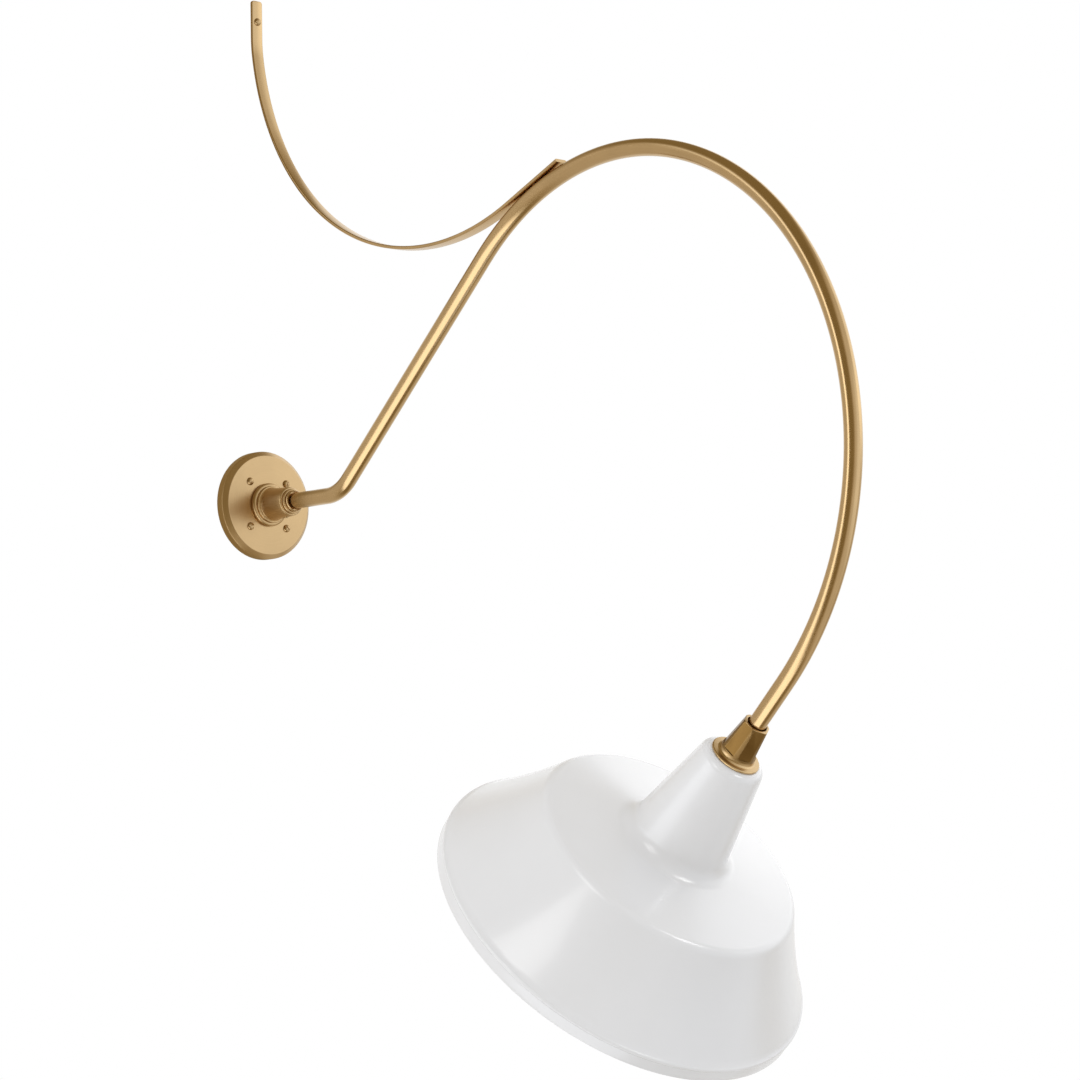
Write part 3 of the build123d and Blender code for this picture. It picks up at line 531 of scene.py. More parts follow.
# ---- shader nodes
BLACK, WHITE = (0.0, 0.0, 0.0), (1.0, 1.0, 1.0)


def feed(tree, socket, value):
    """Wire another node's output into a socket, or set the socket's own value."""
    if isinstance(value, bpy.types.NodeSocket):
        tree.links.new(value, socket)
    else:
        socket.default_value = value


def fill(tree, node, **inputs):
    """Feed a node's inputs, by socket name with underscores for spaces."""
    for key, value in inputs.items():
        feed(tree, node.inputs[key.replace("_", " ")], value)
    return node


def add(tree, kind, settings=None, **inputs):
    """A new node with its settings and inputs."""
    made = tree.nodes.new(kind)
    for key, value in (settings or {}).items():
        setattr(made, key, value)
    return fill(tree, made, **inputs)


def maths(tree, operation, first, *others):
    """The result of a Math node, or of a chain of them from left to right."""
    for second in others or (0.0,):
        made = add(tree, "ShaderNodeMath", {"operation": operation})
        feed(tree, made.inputs[0], first)
        feed(tree, made.inputs[1], second)
        first = made.outputs[0]
    return first


def times(tree, *factors):
    return maths(tree, "MULTIPLY", *factors)


def plus(tree, *parts):
    return maths(tree, "ADD", *parts)


def spread(tree, source, low, high):
    """A value from 0 to 1, spread from low to high."""
    return add(tree, "ShaderNodeMapRange", Value=source, To_Min=low, To_Max=high).outputs["Result"]


def smooth_step(tree, source, low, high):
    """0 below low and 1 above it, with soft ends; the other way round where low is the larger."""
    made = add(tree, "ShaderNodeMapRange", {"interpolation_type": "SMOOTHSTEP"},
               Value=source, From_Min=low, From_Max=high)
    return made.outputs["Result"]


def ramp(tree, source, *stops):
    """Colour by value, from (position, colour) stops."""
    made = add(tree, "ShaderNodeValToRGB", Fac=source)
    elements = made.color_ramp.elements
    while len(elements) < len(stops):
        elements.new(0.5)
    for element, (position, rgb) in zip(elements, stops):
        element.position = position
        element.color = (*rgb, 1)
    return made.outputs["Color"]


def tint(tree, source, dark, light, low=0.3, high=0.7):
    return ramp(tree, source, (low, dark), (high, light))


def mixed(tree, factor, first, second, **settings):
    return add(tree, "ShaderNodeMix", settings, Factor=factor, A=first, B=second).outputs["Result"]


def multiplied(tree, base, other, amount=1.0):
    return mixed(tree, amount, base, other, data_type="RGBA", blend_type="MULTIPLY")


def blend(tree, factor, first, second):
    """Two shaders blended."""
    made = add(tree, "ShaderNodeMixShader")
    for socket, value in zip(made.inputs, (factor, first.outputs[0], second.outputs[0])):
        feed(tree, socket, value)
    return made


def object_space(tree, centre=(0, 0, 0), rotation=(0, 0, 0)):
    """The piece's own coordinates, from a centre and turned."""
    coords = add(tree, "ShaderNodeTexCoord")
    return add(tree, "ShaderNodeMapping", {"vector_type": "TEXTURE"}, Vector=coords.outputs["Object"],
               Location=centre, Rotation=rotation).outputs["Vector"]


def scaled(tree, vector, scale):
    return add(tree, "ShaderNodeMapping", Vector=vector, Scale=scale).outputs["Vector"]


def parts_of(tree, vector):
    return add(tree, "ShaderNodeSeparateXYZ", Vector=vector).outputs


def length_of(tree, vector):
    return add(tree, "ShaderNodeVectorMath", {"operation": "LENGTH"}, Vector=vector).outputs["Value"]


def noise(tree, vector, scale, detail=3.0, rough=0.55):
    return add(tree, "ShaderNodeTexNoise", Vector=vector, Scale=scale, Detail=detail,
               Roughness=rough).outputs["Fac"]


def relief(tree, height, strength, distance):
    return add(tree, "ShaderNodeBump", Height=height, Strength=strength, Distance=distance).outputs["Normal"]


# ---- finishes
WALL_TURN = (radians(90), 0.0, 0.0)
HOLDER_SLOPE = 5.0 / 42.0  # the cone's loss of radius over its height


def own(name):
    """A colour from the panel."""
    return tuple(getattr(bpy.context.scene.sconce_finish, name))


def shaded(rgb, amount):
    return tuple(max(0.0, min(1.0, c * amount)) for c in rgb)


def new_material(name):
    mat = bpy.data.materials.new(name)
    mat.use_nodes = True
    return mat


def make_finish(name, surface):
    """A material that is made once; surface(tree) gives the inputs of its shader."""
    mat = bpy.data.materials.get(name)
    if not mat:
        mat = new_material(name)
        fill(mat.node_tree, mat.node_tree.nodes["Principled BSDF"], **surface(mat.node_tree))
    return mat


def brass(name, rgb, gloss, grain, strength=0.05, painted_shade=None):
    """Satin brass; grain(tree) gives the fine lines of its working, and the last function, where given, gives
    painted shade that darkens parts of it.
    """
    def surface(tree):
        cloud = noise(tree, object_space(tree), 14.0, 4.0, 0.6)
        lines = grain(tree)
        base = multiplied(tree, tint(tree, cloud, shaded(rgb, 0.93), shaded(rgb, 1.05)),
                          tint(tree, lines, (0.93, 0.92, 0.90), WHITE, 0.35, 0.65), 0.8)
        if painted_shade:
            base = multiplied(tree, base, painted_shade(tree))
        rough = plus(tree, spread(tree, lines, -0.05, 0.05), spread(tree, cloud, gloss - 0.03, gloss + 0.03))
        return {"Base_Color": base, "Roughness": rough, "Metallic": 1.0,
                "Normal": relief(tree, lines, strength, 0.1 * MM)}
    return make_finish(name, surface)


def drawn_grain(tree):
    """Fine lines along a bent bar or tube, from its own attribute."""
    drawn = add(tree, "ShaderNodeAttribute", {"attribute_name": "drawn"})
    return noise(tree, scaled(tree, drawn.outputs["Vector"], (1500.0, 1500.0, 22.0)), 1.0)


def turned_grain(tree):
    """Fine rings about the axis of the plate and the hub."""
    across, up, depth = parts_of(tree, object_space(tree, rotation=WALL_TURN))
    reach = maths(tree, "SQRT", plus(tree, times(tree, across, across), times(tree, up, up)))
    rings_per_metre, waver = 3400.0, 25.0
    rings = add(tree, "ShaderNodeCombineXYZ", X=times(tree, reach, rings_per_metre),
                Y=times(tree, depth, rings_per_metre), Z=times(tree, across, waver))
    return noise(tree, rings.outputs[0], 1.0, 2.0)


def cast_grain(tree):
    return noise(tree, object_space(tree), 900.0)


def painted_holder_shade(tree):
    """Painted shade on the holder: its body darkened and its flats most, inside its cone, standing for the
    dark reflections they show; flange and mouth keep the plain brass.
    """
    head = head_place()
    place = object_space(tree, head.translation, head.to_euler())
    up = parts_of(tree, place)[2]
    reach = length_of(tree, scaled(tree, place, (1.0, 1.0, 0.0)))
    cone = plus(tree, reach, times(tree, up, HOLDER_SLOPE))
    cone_r, foot, mouth = 0.0201, 0.0055, 0.0449
    flats = smooth_step(tree, cone, cone_r, cone_r - 0.00035)
    body = times(tree, smooth_step(tree, up, foot, foot + 0.003),
                 smooth_step(tree, up, mouth, mouth - 0.0006))
    shade_amount = times(tree, body, spread(tree, flats, 0.85, 1.0))
    return tint(tree, shade_amount, WHITE, own("holder_shade_tone"), 0.0, 1.0)


def drawn_brass():
    return brass("brass drawn satin", own("brass"), 0.20, drawn_grain, strength=0.012)


def turned_brass():
    return brass("brass turned satin", own("brass"), 0.30, turned_grain, strength=0.02)


def holder_brass():
    # The holder's brass carries painted shade on its body and flats.
    return brass("brass machined holder", own("cast_brass"), 0.30, cast_grain, painted_shade=painted_holder_shade)


def screw_brass():
    return brass("brass screws", shaded(own("brass"), 0.9), 0.18, cast_grain)


def inner_brass():
    return brass("brass lampholder", shaded(own("brass"), 1.05), 0.25, cast_grain)


def mottled(name, rgb, tones, cloud, rough, gloss=None, bump=None, **others):
    """Mottled colour between two tones, uneven roughness and a bump of (strength, distance).

    Cloud, gloss and the rest of bump are noises of (scale, detail, roughness). The cloud's own noise
    serves where they are left out.
    """
    def surface(tree):
        space = object_space(tree)
        speck = noise(tree, space, *cloud)
        made = dict(others, Base_Color=tint(tree, speck, *(shaded(rgb, tone) for tone in tones)),
                    Roughness=spread(tree, noise(tree, space, *gloss) if gloss else speck, *rough))
        if bump:
            height = noise(tree, space, *bump[2:]) if bump[2:] else speck
            made["Normal"] = relief(tree, height, *bump[:2])
        return made
    return make_finish(name, surface)


def white_enamel():
    return mottled("enamel white gloss", own("enamel"), (0.985, 1.01), (9.0, 3.0, 0.5), (0.22, 0.28),
                   gloss=(60.0, 2.0), bump=(0.05, 0.4 * MM, 210.0, 2.0, 0.45),
                   IOR=1.52, Coat_Weight=0.5, Coat_Roughness=0.11)


def zinc_steel():
    return mottled("steel zinc plated", own("steel"), (0.85, 1.08), (160.0, 5.0, 0.65), (0.26, 0.42),
                   gloss=(900.0,), bump=(0.08, 0.1 * MM, 2200.0), Metallic=1.0)


def bare_copper():
    return mottled("copper bare wire", own("copper"), (0.82, 1.08), (240.0, 4.0), (0.24, 0.36), Metallic=1.0)


def soft_surface(name, rgb, rough, scale, strength=0.05, coat=0.0):
    """A plain finish that isn't metal."""
    return mottled(name, rgb, (0.9, 1.06), (scale, 4.0, 0.6), (rough - 0.05, rough + 0.06),
                   bump=(strength, 0.2 * MM), Coat_Weight=coat, Coat_Roughness=0.08)


def porcelain():
    return soft_surface("porcelain glazed", own("porcelain"), 0.22, 300.0, coat=0.4)


def fibre():
    return soft_surface("fibre pressed", own("fibre"), 0.72, 1500.0, strength=0.3)


def black_lead():
    return soft_surface("lead insulation black", own("black_lead"), 0.42, 700.0)


def white_lead():
    return soft_surface("lead insulation white", own("white_lead"), 0.42, 700.0)


def studio_paint():
    def surface(tree):
        speck = noise(tree, object_space(tree), 3.0)
        return {"Base_Color": tint(tree, speck, (0.86, 0.86, 0.86), (0.9, 0.9, 0.9)), "Roughness": 0.9}
    return make_finish("studio floor", surface)


# ---- places on the wall
def plate_face():
    """Depth of the plate's flat face from the wall."""
    wall = bpy.context.scene.sconce_wall
    return wall.plate_band + wall.plate_rise


def screw_angles():
    wall = bpy.context.scene.sconce_wall
    return [radians(45) + tau * number / wall.screw_count for number in range(wall.screw_count)]


def on_screw_circle(angle, depth=0.0):
    reach = bpy.context.scene.sconce_wall.screw_circle
    return WALL @ Matrix.Rotation(angle, 4, "Z") @ Matrix.Translation((reach, 0, depth))


def turned_by(angle, axis="Z"):
    """A turn in degrees."""
    return Matrix.Rotation(radians(angle), 4, axis)


# ---- screws, in millimetres
WALL_SCREW = {"head_r": 4.75, "head_h": 3.4, "reach": 38.0, "tip": 4.0}
TUBE_SCREW = {"head_r": 4.4, "head_h": 3.2, "reach": 10.0, "tip": 0.8}


def round_head(name, radius, head_r, head_h, grip):
    """Slotted round head with its plain neck, underside at Z = 0."""
    neck_r, foot, chamfer, lift = radius - 0.2, -grip - 0.9, 0.12, -0.04
    slot_wide, slot_deep, cutter = 1.2, 1.3, 3.0
    profile = outline((0, head_h), ((head_r * 0.72, head_h * 0.70), (head_r, 0), 12),
                      (head_r - chamfer, lift), (neck_r, lift), (neck_r, foot), (0, foot))
    head = on_lathe(name, profile, Matrix.Identity(4), steps=40)
    deselect_all()
    bpy.ops.mesh.primitive_cube_add(size=1.0, location=(0, 0, (head_h - slot_deep + cutter / 2) * MM))
    slot = named("slot")
    slot.scale = (3 * head_r * MM, slot_wide * MM, cutter * MM)
    settle(slot)
    cut_away(head, slot)
    ease_edges(head, 0.1 * MM, angle=40)
    return head


def thread(name, radius, top, bottom, tip, pitch):
    """Running thread with a pointed end, from a height down to the tip's start."""
    root = radius - 0.5 * pitch
    turns = max(2, int((top - bottom) / pitch))
    flanks = ((root, 0.0), (root, 0.15), (radius, 0.45), (radius, 0.6), (root, 0.9), (root, 1.0))
    obj = drawn_line(name, [Vector((r * MM, 0, (top - share * pitch) * MM)) for r, share in flanks])
    wind(obj, -pitch, turns, steps=24)
    bpy.ops.mesh.remove_doubles(threshold=MERGE)
    middle = (top + bottom) / 2 * MM
    for above, goal in ((True, top - pitch), (False, bottom - tip)):
        pick(obj, "EDGE", lambda e: e.is_boundary and ((e.verts[0].co.z > middle) == above))
        extrude_by((0, 0, 0))
        bpy.ops.mesh.select_mode(type="VERT")
        bpy.ops.mesh.merge(type="CENTER")
        bm = bmesh.from_edit_mesh(obj.data)
        centre = next(v.co.copy() for v in bm.verts if v.select)
        bpy.ops.transform.translate(value=Vector((0, 0, goal * MM)) - centre)
    close_mesh()
    bm = bmesh.new()
    bm.from_mesh(obj.data)
    inward = bm.calc_volume(signed=True) < 0
    bm.free()
    if inward:
        turn_inside_out(obj)
    return obj


def threaded_screw(name, radius, pitch, grip, head_r, head_h, reach, tip):
    """Round-head screw with its thread, underside of the head at Z = 0."""
    head = round_head(name, radius, head_r, head_h, grip)
    return join(head, thread("shank", radius, -grip - 0.5, tip - reach, tip, pitch))


# ---- operators
class SconcePiece:
    """What every operator of the panel shares"""
    bl_options = {"REGISTER", "UNDO"}


class SCONCE_OT_wall_plate(SconcePiece, bpy.types.Operator):
    """Turn the wall plate: plain band, bevel and flat face, hollow behind, with its screw holes"""
    bl_idname = "sconce.wall_plate"
    bl_label = "Wall Plate"

    def execute(self, context):
        wall = context.scene.sconce_wall
        sheet, bore_r, edge_bend, foot_ease, hole_r, through = 3.0, 13.1, 0.9, 0.3, 2.5, 20.0
        boss_r, boss_ease, boss_height, boss_reach = 4.5, 0.3, 3.0, 32.0
        r, band = wall.plate_radius / MM, wall.plate_band / MM
        face_r, depth = r - wall.plate_bevel / MM, band + wall.plate_rise / MM
        inner = depth - sheet
        profile = corner_arc([(bore_r, depth), (face_r, depth), (r, band), (r, foot_ease)],
                             [edge_bend, edge_bend], 8.0)
        profile += [(r - foot_ease, 0.0), (r - sheet, 0.0), (r - sheet, band - sheet),
                    (face_r - sheet, inner), (bore_r, inner)]
        plate = on_lathe("wall_plate_turned", profile, WALL, steps=192)
        low, rooted = inner - boss_height, inner + 1.0
        boss = on_lathe("boss", [(0, low), (boss_r - boss_ease, low), (boss_r, low + boss_ease),
                                 (boss_r, rooted), (0, rooted)],
                        WALL @ Matrix.Translation((-boss_reach * MM, 0, 0)), steps=48)
        for angle in screw_angles():
            drill(plate, on_screw_circle(angle), hole_r, through)
        join(plate, boss)
        hand_over(plate, turned_brass(), "wall_plate")
        return {"FINISHED"}


class SCONCE_OT_hub(SconcePiece, bpy.types.Operator):
    """Turn the hub: beaded base, tapered barrel and stepped mouth, with its grub screw"""
    bl_idname = "sconce.hub"
    bl_label = "Arm Hub"

    def execute(self, context):
        face = plate_face() / MM
        base, bead_end, ring_end = face + TOUCH / MM, face + 7.05, face + 9.6
        rim_front = face + 45.6
        bead_front = rim_front + 3.6
        front = bead_front + 4.4
        mouth = context.scene.sconce_arm.tube_radius / MM + 2.0
        grip, mouth_floor = mouth - 1.9, front - 5.0
        thread_r, lead_r, stop = 13.0, 8.0, face - 10.5
        barrel = (19.2, ring_end + 0.8), (17.2, rim_front - 1.8)
        profile = outline(
            (24.4, base), ((26.0, base + 3.15), (23.0, bead_end - 0.7), 14), (21.8, bead_end - 0.7),
            (21.8, bead_end), ((22.4, bead_end + 1.17), (20.0, ring_end), 10), (19.4, ring_end + 0.35),
            barrel[0], *line_to(*barrel, 6), ((16.66, rim_front - 0.54), (15.4, rim_front), 8),
            (14.3, rim_front), (14.3, rim_front + 0.7), ((15.0, rim_front + 1.8), (12.41, bead_front), 12),
            (12.41, bead_front + 0.7), ((12.9, bead_front + 2.2), (mouth + 0.4, front), 10),
            (mouth + 0.2, front), (mouth, front - 0.2), (mouth, mouth_floor), (grip, mouth_floor),
            (grip, stop + 3.0), (lead_r, stop + 3.0), (lead_r, stop), (thread_r, stop), (thread_r, base))
        hub = on_lathe("arm_hub_turned", profile, WALL, steps=144)
        grub_r, grub_place, past_wall = 2.6, face + 34.5, 26.0
        drill(hub, WALL @ Matrix.Translation((0, 0, grub_place * MM)) @ turned_by(90, "X"), grub_r, past_wall)
        hand_over(hub, turned_brass(), "arm_hub", angle=40)
        grub = from_frame("hub_set_screw", "hub_grub_screw", 0.08)
        hand_over(grub, screw_brass(), "hub_set_screw")
        return {"FINISHED"}


class SCONCE_OT_arm(SconcePiece, bpy.types.Operator):
    """Bend the arm: a brass tube from the hub to the shade holder"""
    bl_idname = "sconce.arm"
    bl_label = "Bent Arm"

    def execute(self, context):
        arm = context.scene.sconce_arm
        start, into_holder = 0.008, 0.032
        deselect_all()
        bpy.ops.mesh.primitive_circle_add(vertices=56, radius=arm.tube_radius, fill_type="NOTHING",
                                          location=(0, -start, 0), rotation=WALL_TURN)
        tube = named("arm_tube_bent")
        settle(tube)
        edit(tube, "EDGE")
        line = Vector((start, 0.0)), 0.0, arm_runs(start, into_holder)
        sweep_selected(*line, bend_step=radians(1.6))
        close_mesh()
        first = max(tube.data.polygons, key=lambda p: p.center.y)
        if first.normal.dot(Vector((first.center.x, 0, first.center.z))) < 0:
            turn_inside_out(tube)
        modify(tube, "SOLIDIFY", thickness=arm.tube_wall, offset=-1.0, use_even_offset=True)
        mark_along(tube, *line)
        hand_over(tube, drawn_brass(), "arm_tube", angle=50)
        return {"FINISHED"}


class SCONCE_OT_brace(SconcePiece, bpy.types.Operator):
    """Bend the brace: a flat bar with eased edges, from the wall to the crown of the arm"""
    bl_idname = "sconce.brace"
    bl_label = "Flat Brace"

    def execute(self, context):
        arm = context.scene.sconce_arm
        half_t, half_w = arm.brace_thickness / 2, arm.brace_width / 2
        past_screw, before_screw, eased, corner = 0.046, 0.0436, 0.0015, 0.003
        wall_bend, wall_turn = 0.160, radians(81.4)
        at, up = seat_spot()
        ahead = direction(SEAT_SLOPE)
        seat = at + up * (arm.tube_radius + TOUCH + half_t)
        reach = (seat - ahead * before_screw).x - half_t - TOUCH - wall_bend * (1 - sin(wall_turn))
        long_bend = reach / (sin(SEAT_SLOPE) + sin(wall_turn))
        spot, heading = seat + ahead * past_screw, SEAT_SLOPE + pi
        runs = [(past_screw + before_screw, 0), (long_bend, -(SEAT_SLOPE + wall_turn)),
                (wall_bend, wall_turn - pi / 2)]
        end, _ = follow(spot, heading, runs)
        runs.append((arm.brace_top - corner - end.y, 0))
        deselect_all()
        bpy.ops.mesh.primitive_plane_add(size=1.0)
        strap = named("brace_bar")
        put(strap, plane_at(spot, ahead) @ Matrix.Diagonal((arm.brace_width, arm.brace_thickness, 1, 1)))
        edit(strap)
        bpy.ops.mesh.bevel(offset=eased, segments=5, affect="VERTICES")
        select_whole("FACE")
        sweep_selected(spot, heading, runs, bend_step=radians(1.5))
        self.round_end(end.x, half_w, corner)
        close_mesh()
        mark_along(strap, spot, heading, runs)
        hand_over(strap, drawn_brass(), "brace_strap", angle=40)
        return {"FINISHED"}

    def round_end(self, depth, half_w, corner, steps=6):
        """Both corners of the top end rounded, by a few short and narrower runs upwards"""
        height, width = 0.0, half_w
        for step in range(1, steps + 1):
            turned = pi / 2 * step / steps
            rise, narrowed = corner * sin(turned), half_w - corner + corner * cos(turned)
            extrude_by((0, 0, rise - height))
            bpy.ops.transform.resize(value=(narrowed / width, 1, 1), center_override=(0, -depth, 0))
            height, width = rise, narrowed


class SCONCE_OT_screws(SconcePiece, bpy.types.Operator):
    """Make the round-head screws of the plate and the brace, with their slots and threads"""
    bl_idname = "sconce.screws"
    bl_label = "Screws"

    def execute(self, context):
        wall, arm = context.scene.sconce_wall, context.scene.sconce_arm
        radius, pitch = wall.screw_radius / MM, wall.thread_pitch / MM
        plate_sheet, below_top, tube_thread_r, tube_pitch = 3.0, 0.026, 2.1, 0.8
        first_slot, slot_step, wall_slot, tube_slot = 25, 50, 8, 35
        first = threaded_screw("plate_screws_slotted", radius, pitch, plate_sheet, **WALL_SCREW)
        others = [copy_of(first, "screw copy") for _ in range(wall.screw_count - 1)]
        for number, (made, angle) in enumerate(zip([first, *others], screw_angles())):
            slot = turned_by(first_slot + slot_step * number)
            put(made, on_screw_circle(angle, plate_face() + TOUCH) @ slot)
        join(first, *others)
        hand_over(first, screw_brass(), "plate_screws", angle=40)
        grip = arm.brace_thickness + 2 * TOUCH
        top = threaded_screw("brace_wall_screw_slotted", radius, pitch, grip / MM, **WALL_SCREW)
        put(top, WALL @ Matrix.Translation((0, arm.brace_top - below_top, grip)) @ turned_by(wall_slot))
        hand_over(top, screw_brass(), "brace_wall_screw", angle=40)
        seat = threaded_screw("brace_tube_screw_slotted", tube_thread_r, tube_pitch, grip / MM, **TUBE_SCREW)
        put(seat, seat_place() @ Matrix.Translation((0, 0, grip)) @ turned_by(tube_slot))
        hand_over(seat, screw_brass(), "brace_tube_screw", angle=40)
        return {"FINISHED"}


class SCONCE_OT_holder(SconcePiece, bpy.types.Operator):
    """Finish the shade holder: flange, round foot and six flats up to the mouth"""
    bl_idname = "sconce.holder"
    bl_label = "Shade Holder"

    def execute(self, context):
        holder = from_frame("shade_holder", "shade_holder_machined", 0.25, angle=20)
        hand_over(holder, holder_brass(), "shade_holder", angle=30)
        return {"FINISHED"}


class SCONCE_OT_shade(SconcePiece, bpy.types.Operator):
    """Spin the shade: neck, shoulder, flaring skirt, beaded rim and lip, enamelled inside and out"""
    bl_idname = "sconce.shade"
    bl_label = "Enamelled Shade"

    def execute(self, context):
        sizes = context.scene.sconce_shade
        sheet, neck_r, neck_h = sizes.sheet / MM, sizes.neck_radius / MM, sizes.neck_height / MM
        shoulder_r, rim_r = sizes.shoulder_radius / MM, sizes.rim_radius / MM
        hole_r, neck_flare, shoulder_fall, hollow = 14.1, 21.6, 12.8, 4.9
        neck_bend, foot_bend, shoulder_bend = 9.0, 20.0, 12.5
        shoulder = Vector((shoulder_r, -neck_h - shoulder_fall))
        rim = Vector((rim_r, shoulder.y - sizes.skirt_drop / MM))
        chord = rim - shoulder
        middle = shoulder + chord * 0.5 + Vector((chord.y, -chord.x)).normalized() * hollow
        foot = Vector((neck_r + neck_flare, -neck_h))
        outer = [Vector((hole_r, 0)), Vector((neck_r, 0)), foot, shoulder, middle, rim]
        upper, lower = middle - shoulder, rim - middle
        bend_reach = shoulder_bend * tan((shoulder - foot).angle(upper) / 2)
        skirt_bend = (upper.length - bend_reach - 1.0) / tan(upper.angle(lower) / 2)
        bends = [neck_bend, foot_bend, shoulder_bend, skirt_bend]
        inner_bends = [neck_bend - sheet, foot_bend + sheet, shoulder_bend - sheet, skirt_bend + sheet]
        inside = corner_arc(sideways(outer, sheet), inner_bends, 5.0)
        bead_r, bead_drop = rim_r + 2.0, 2.25
        lip_r, lip_z = rim_r + 0.8, rim.y - 5.0
        edge_r, edge_z = lip_r + 0.8, lip_z - 12.0 + sheet / 2
        profile = corner_arc(outer, bends, 5.0)
        profile += arc_through(rim, (bead_r, rim.y - bead_drop), (lip_r, lip_z), 12)
        profile += line_to((lip_r, lip_z), (edge_r, edge_z), 3)
        profile += arc_through((edge_r, edge_z), (edge_r - sheet / 2, edge_z - sheet / 2),
                               (edge_r - sheet, edge_z), 8)
        profile += [(lip_r - sheet, lip_z), *reversed(inside)]
        shade = on_lathe("shade_enamelled", profile, head_place(), steps=224)
        hand_over(shade, white_enamel(), "shade", angle=50)
        return {"FINISHED"}


class SCONCE_OT_lampholder(SconcePiece, bpy.types.Operator):
    """Fit the lampholder under the neck: ring nut, washer, cap, porcelain, rolled shell and contact"""
    bl_idname = "sconce.lampholder"
    bl_label = "Lampholder"

    def execute(self, context):
        for node, name, ease, finish, slot in (
                ("shade_washer", "shade_washer_fibre", 0.2, fibre, "fibre"),
                ("shade_ring_nut", "shade_ring_nut_plated", 0.25, zinc_steel, "steel"),
                ("nipple_nuts", "nipple_nuts_plated", 0.2, zinc_steel, "steel"),
                ("socket_cap", "socket_cap_drawn", 0.12, inner_brass, "brass"),
                ("socket_body", "socket_porcelain", 0.35, porcelain, "porcelain"),
                ("socket_screws", "socket_screws_plated", 0.08, zinc_steel, "steel"),
                ("terminal_screws", "terminal_screws_brass", 0.08, screw_brass, "brass"),
                ("centre_contact", "centre_contact_sprung", 0.06, inner_brass, "contact_brass"),
                ("contact_rivet", "contact_rivet_brass", 0.08, screw_brass, "brass")):
            hand_over(from_frame(node, name, ease), finish(), node)
        for node in ("socket_nipple", "hub_lock_washer", "hub_locknut", "brace_insert"):
            dress(CAD_NODES[node], zinc_steel())
        self.rolled_shell()
        return {"FINISHED"}

    def rolled_shell(self):
        """The lamp's shell: a rolled thread below, drawn in at its top"""
        mouth, pitch, turns, crest_r, depth, sheet = -80.55, 3.6, 5, 13.45, 0.75, 0.35
        points = 12
        wave = [(crest_r - depth * (0.5 - 0.5 * cos(tau * i / points)), mouth + pitch * i / points)
                for i in range(points + 1)]
        shell = drawn_line("screw_shell_rolled", [Vector((r * MM, 0, h * MM)) for r, h in wave])
        wind(shell, pitch, turns - 1, steps=72)
        close_mesh()
        modify(shell, "SOLIDIFY", thickness=sheet * MM, offset=0.0)
        put(shell, head_place())
        low = mouth + turns * pitch
        high = low + 6.0
        cone = on_lathe("shell_cone", [(13.1, low - 0.6), (13.6, low - 0.6), (13.85, low), (11.0, high),
                                       (8.6, high), (8.6, high - 0.5), (10.5, high - 0.5), (13.35, low)],
                        head_place(), steps=96)
        join(shell, cone)
        hand_over(shell, inner_brass(), "screw_shell", angle=50)


class SCONCE_OT_wiring(SconcePiece, bpy.types.Operator):
    """Finish the leads inside the arm and the bonding screw and wire behind the plate"""
    bl_idname = "sconce.wiring"
    bl_label = "Wiring"

    def execute(self, context):
        for node, finish, slot in (("lead_line", black_lead, "lead_black"),
                                   ("lead_neutral", white_lead, "lead_white"),
                                   ("ground_lead", bare_copper, "copper")):
            dress(CAD_NODES[node], finish())
        screw = from_frame("ground_screw", "ground_screw_plated", 0.1)
        hand_over(screw, zinc_steel(), "ground_screw")
        return {"FINISHED"}


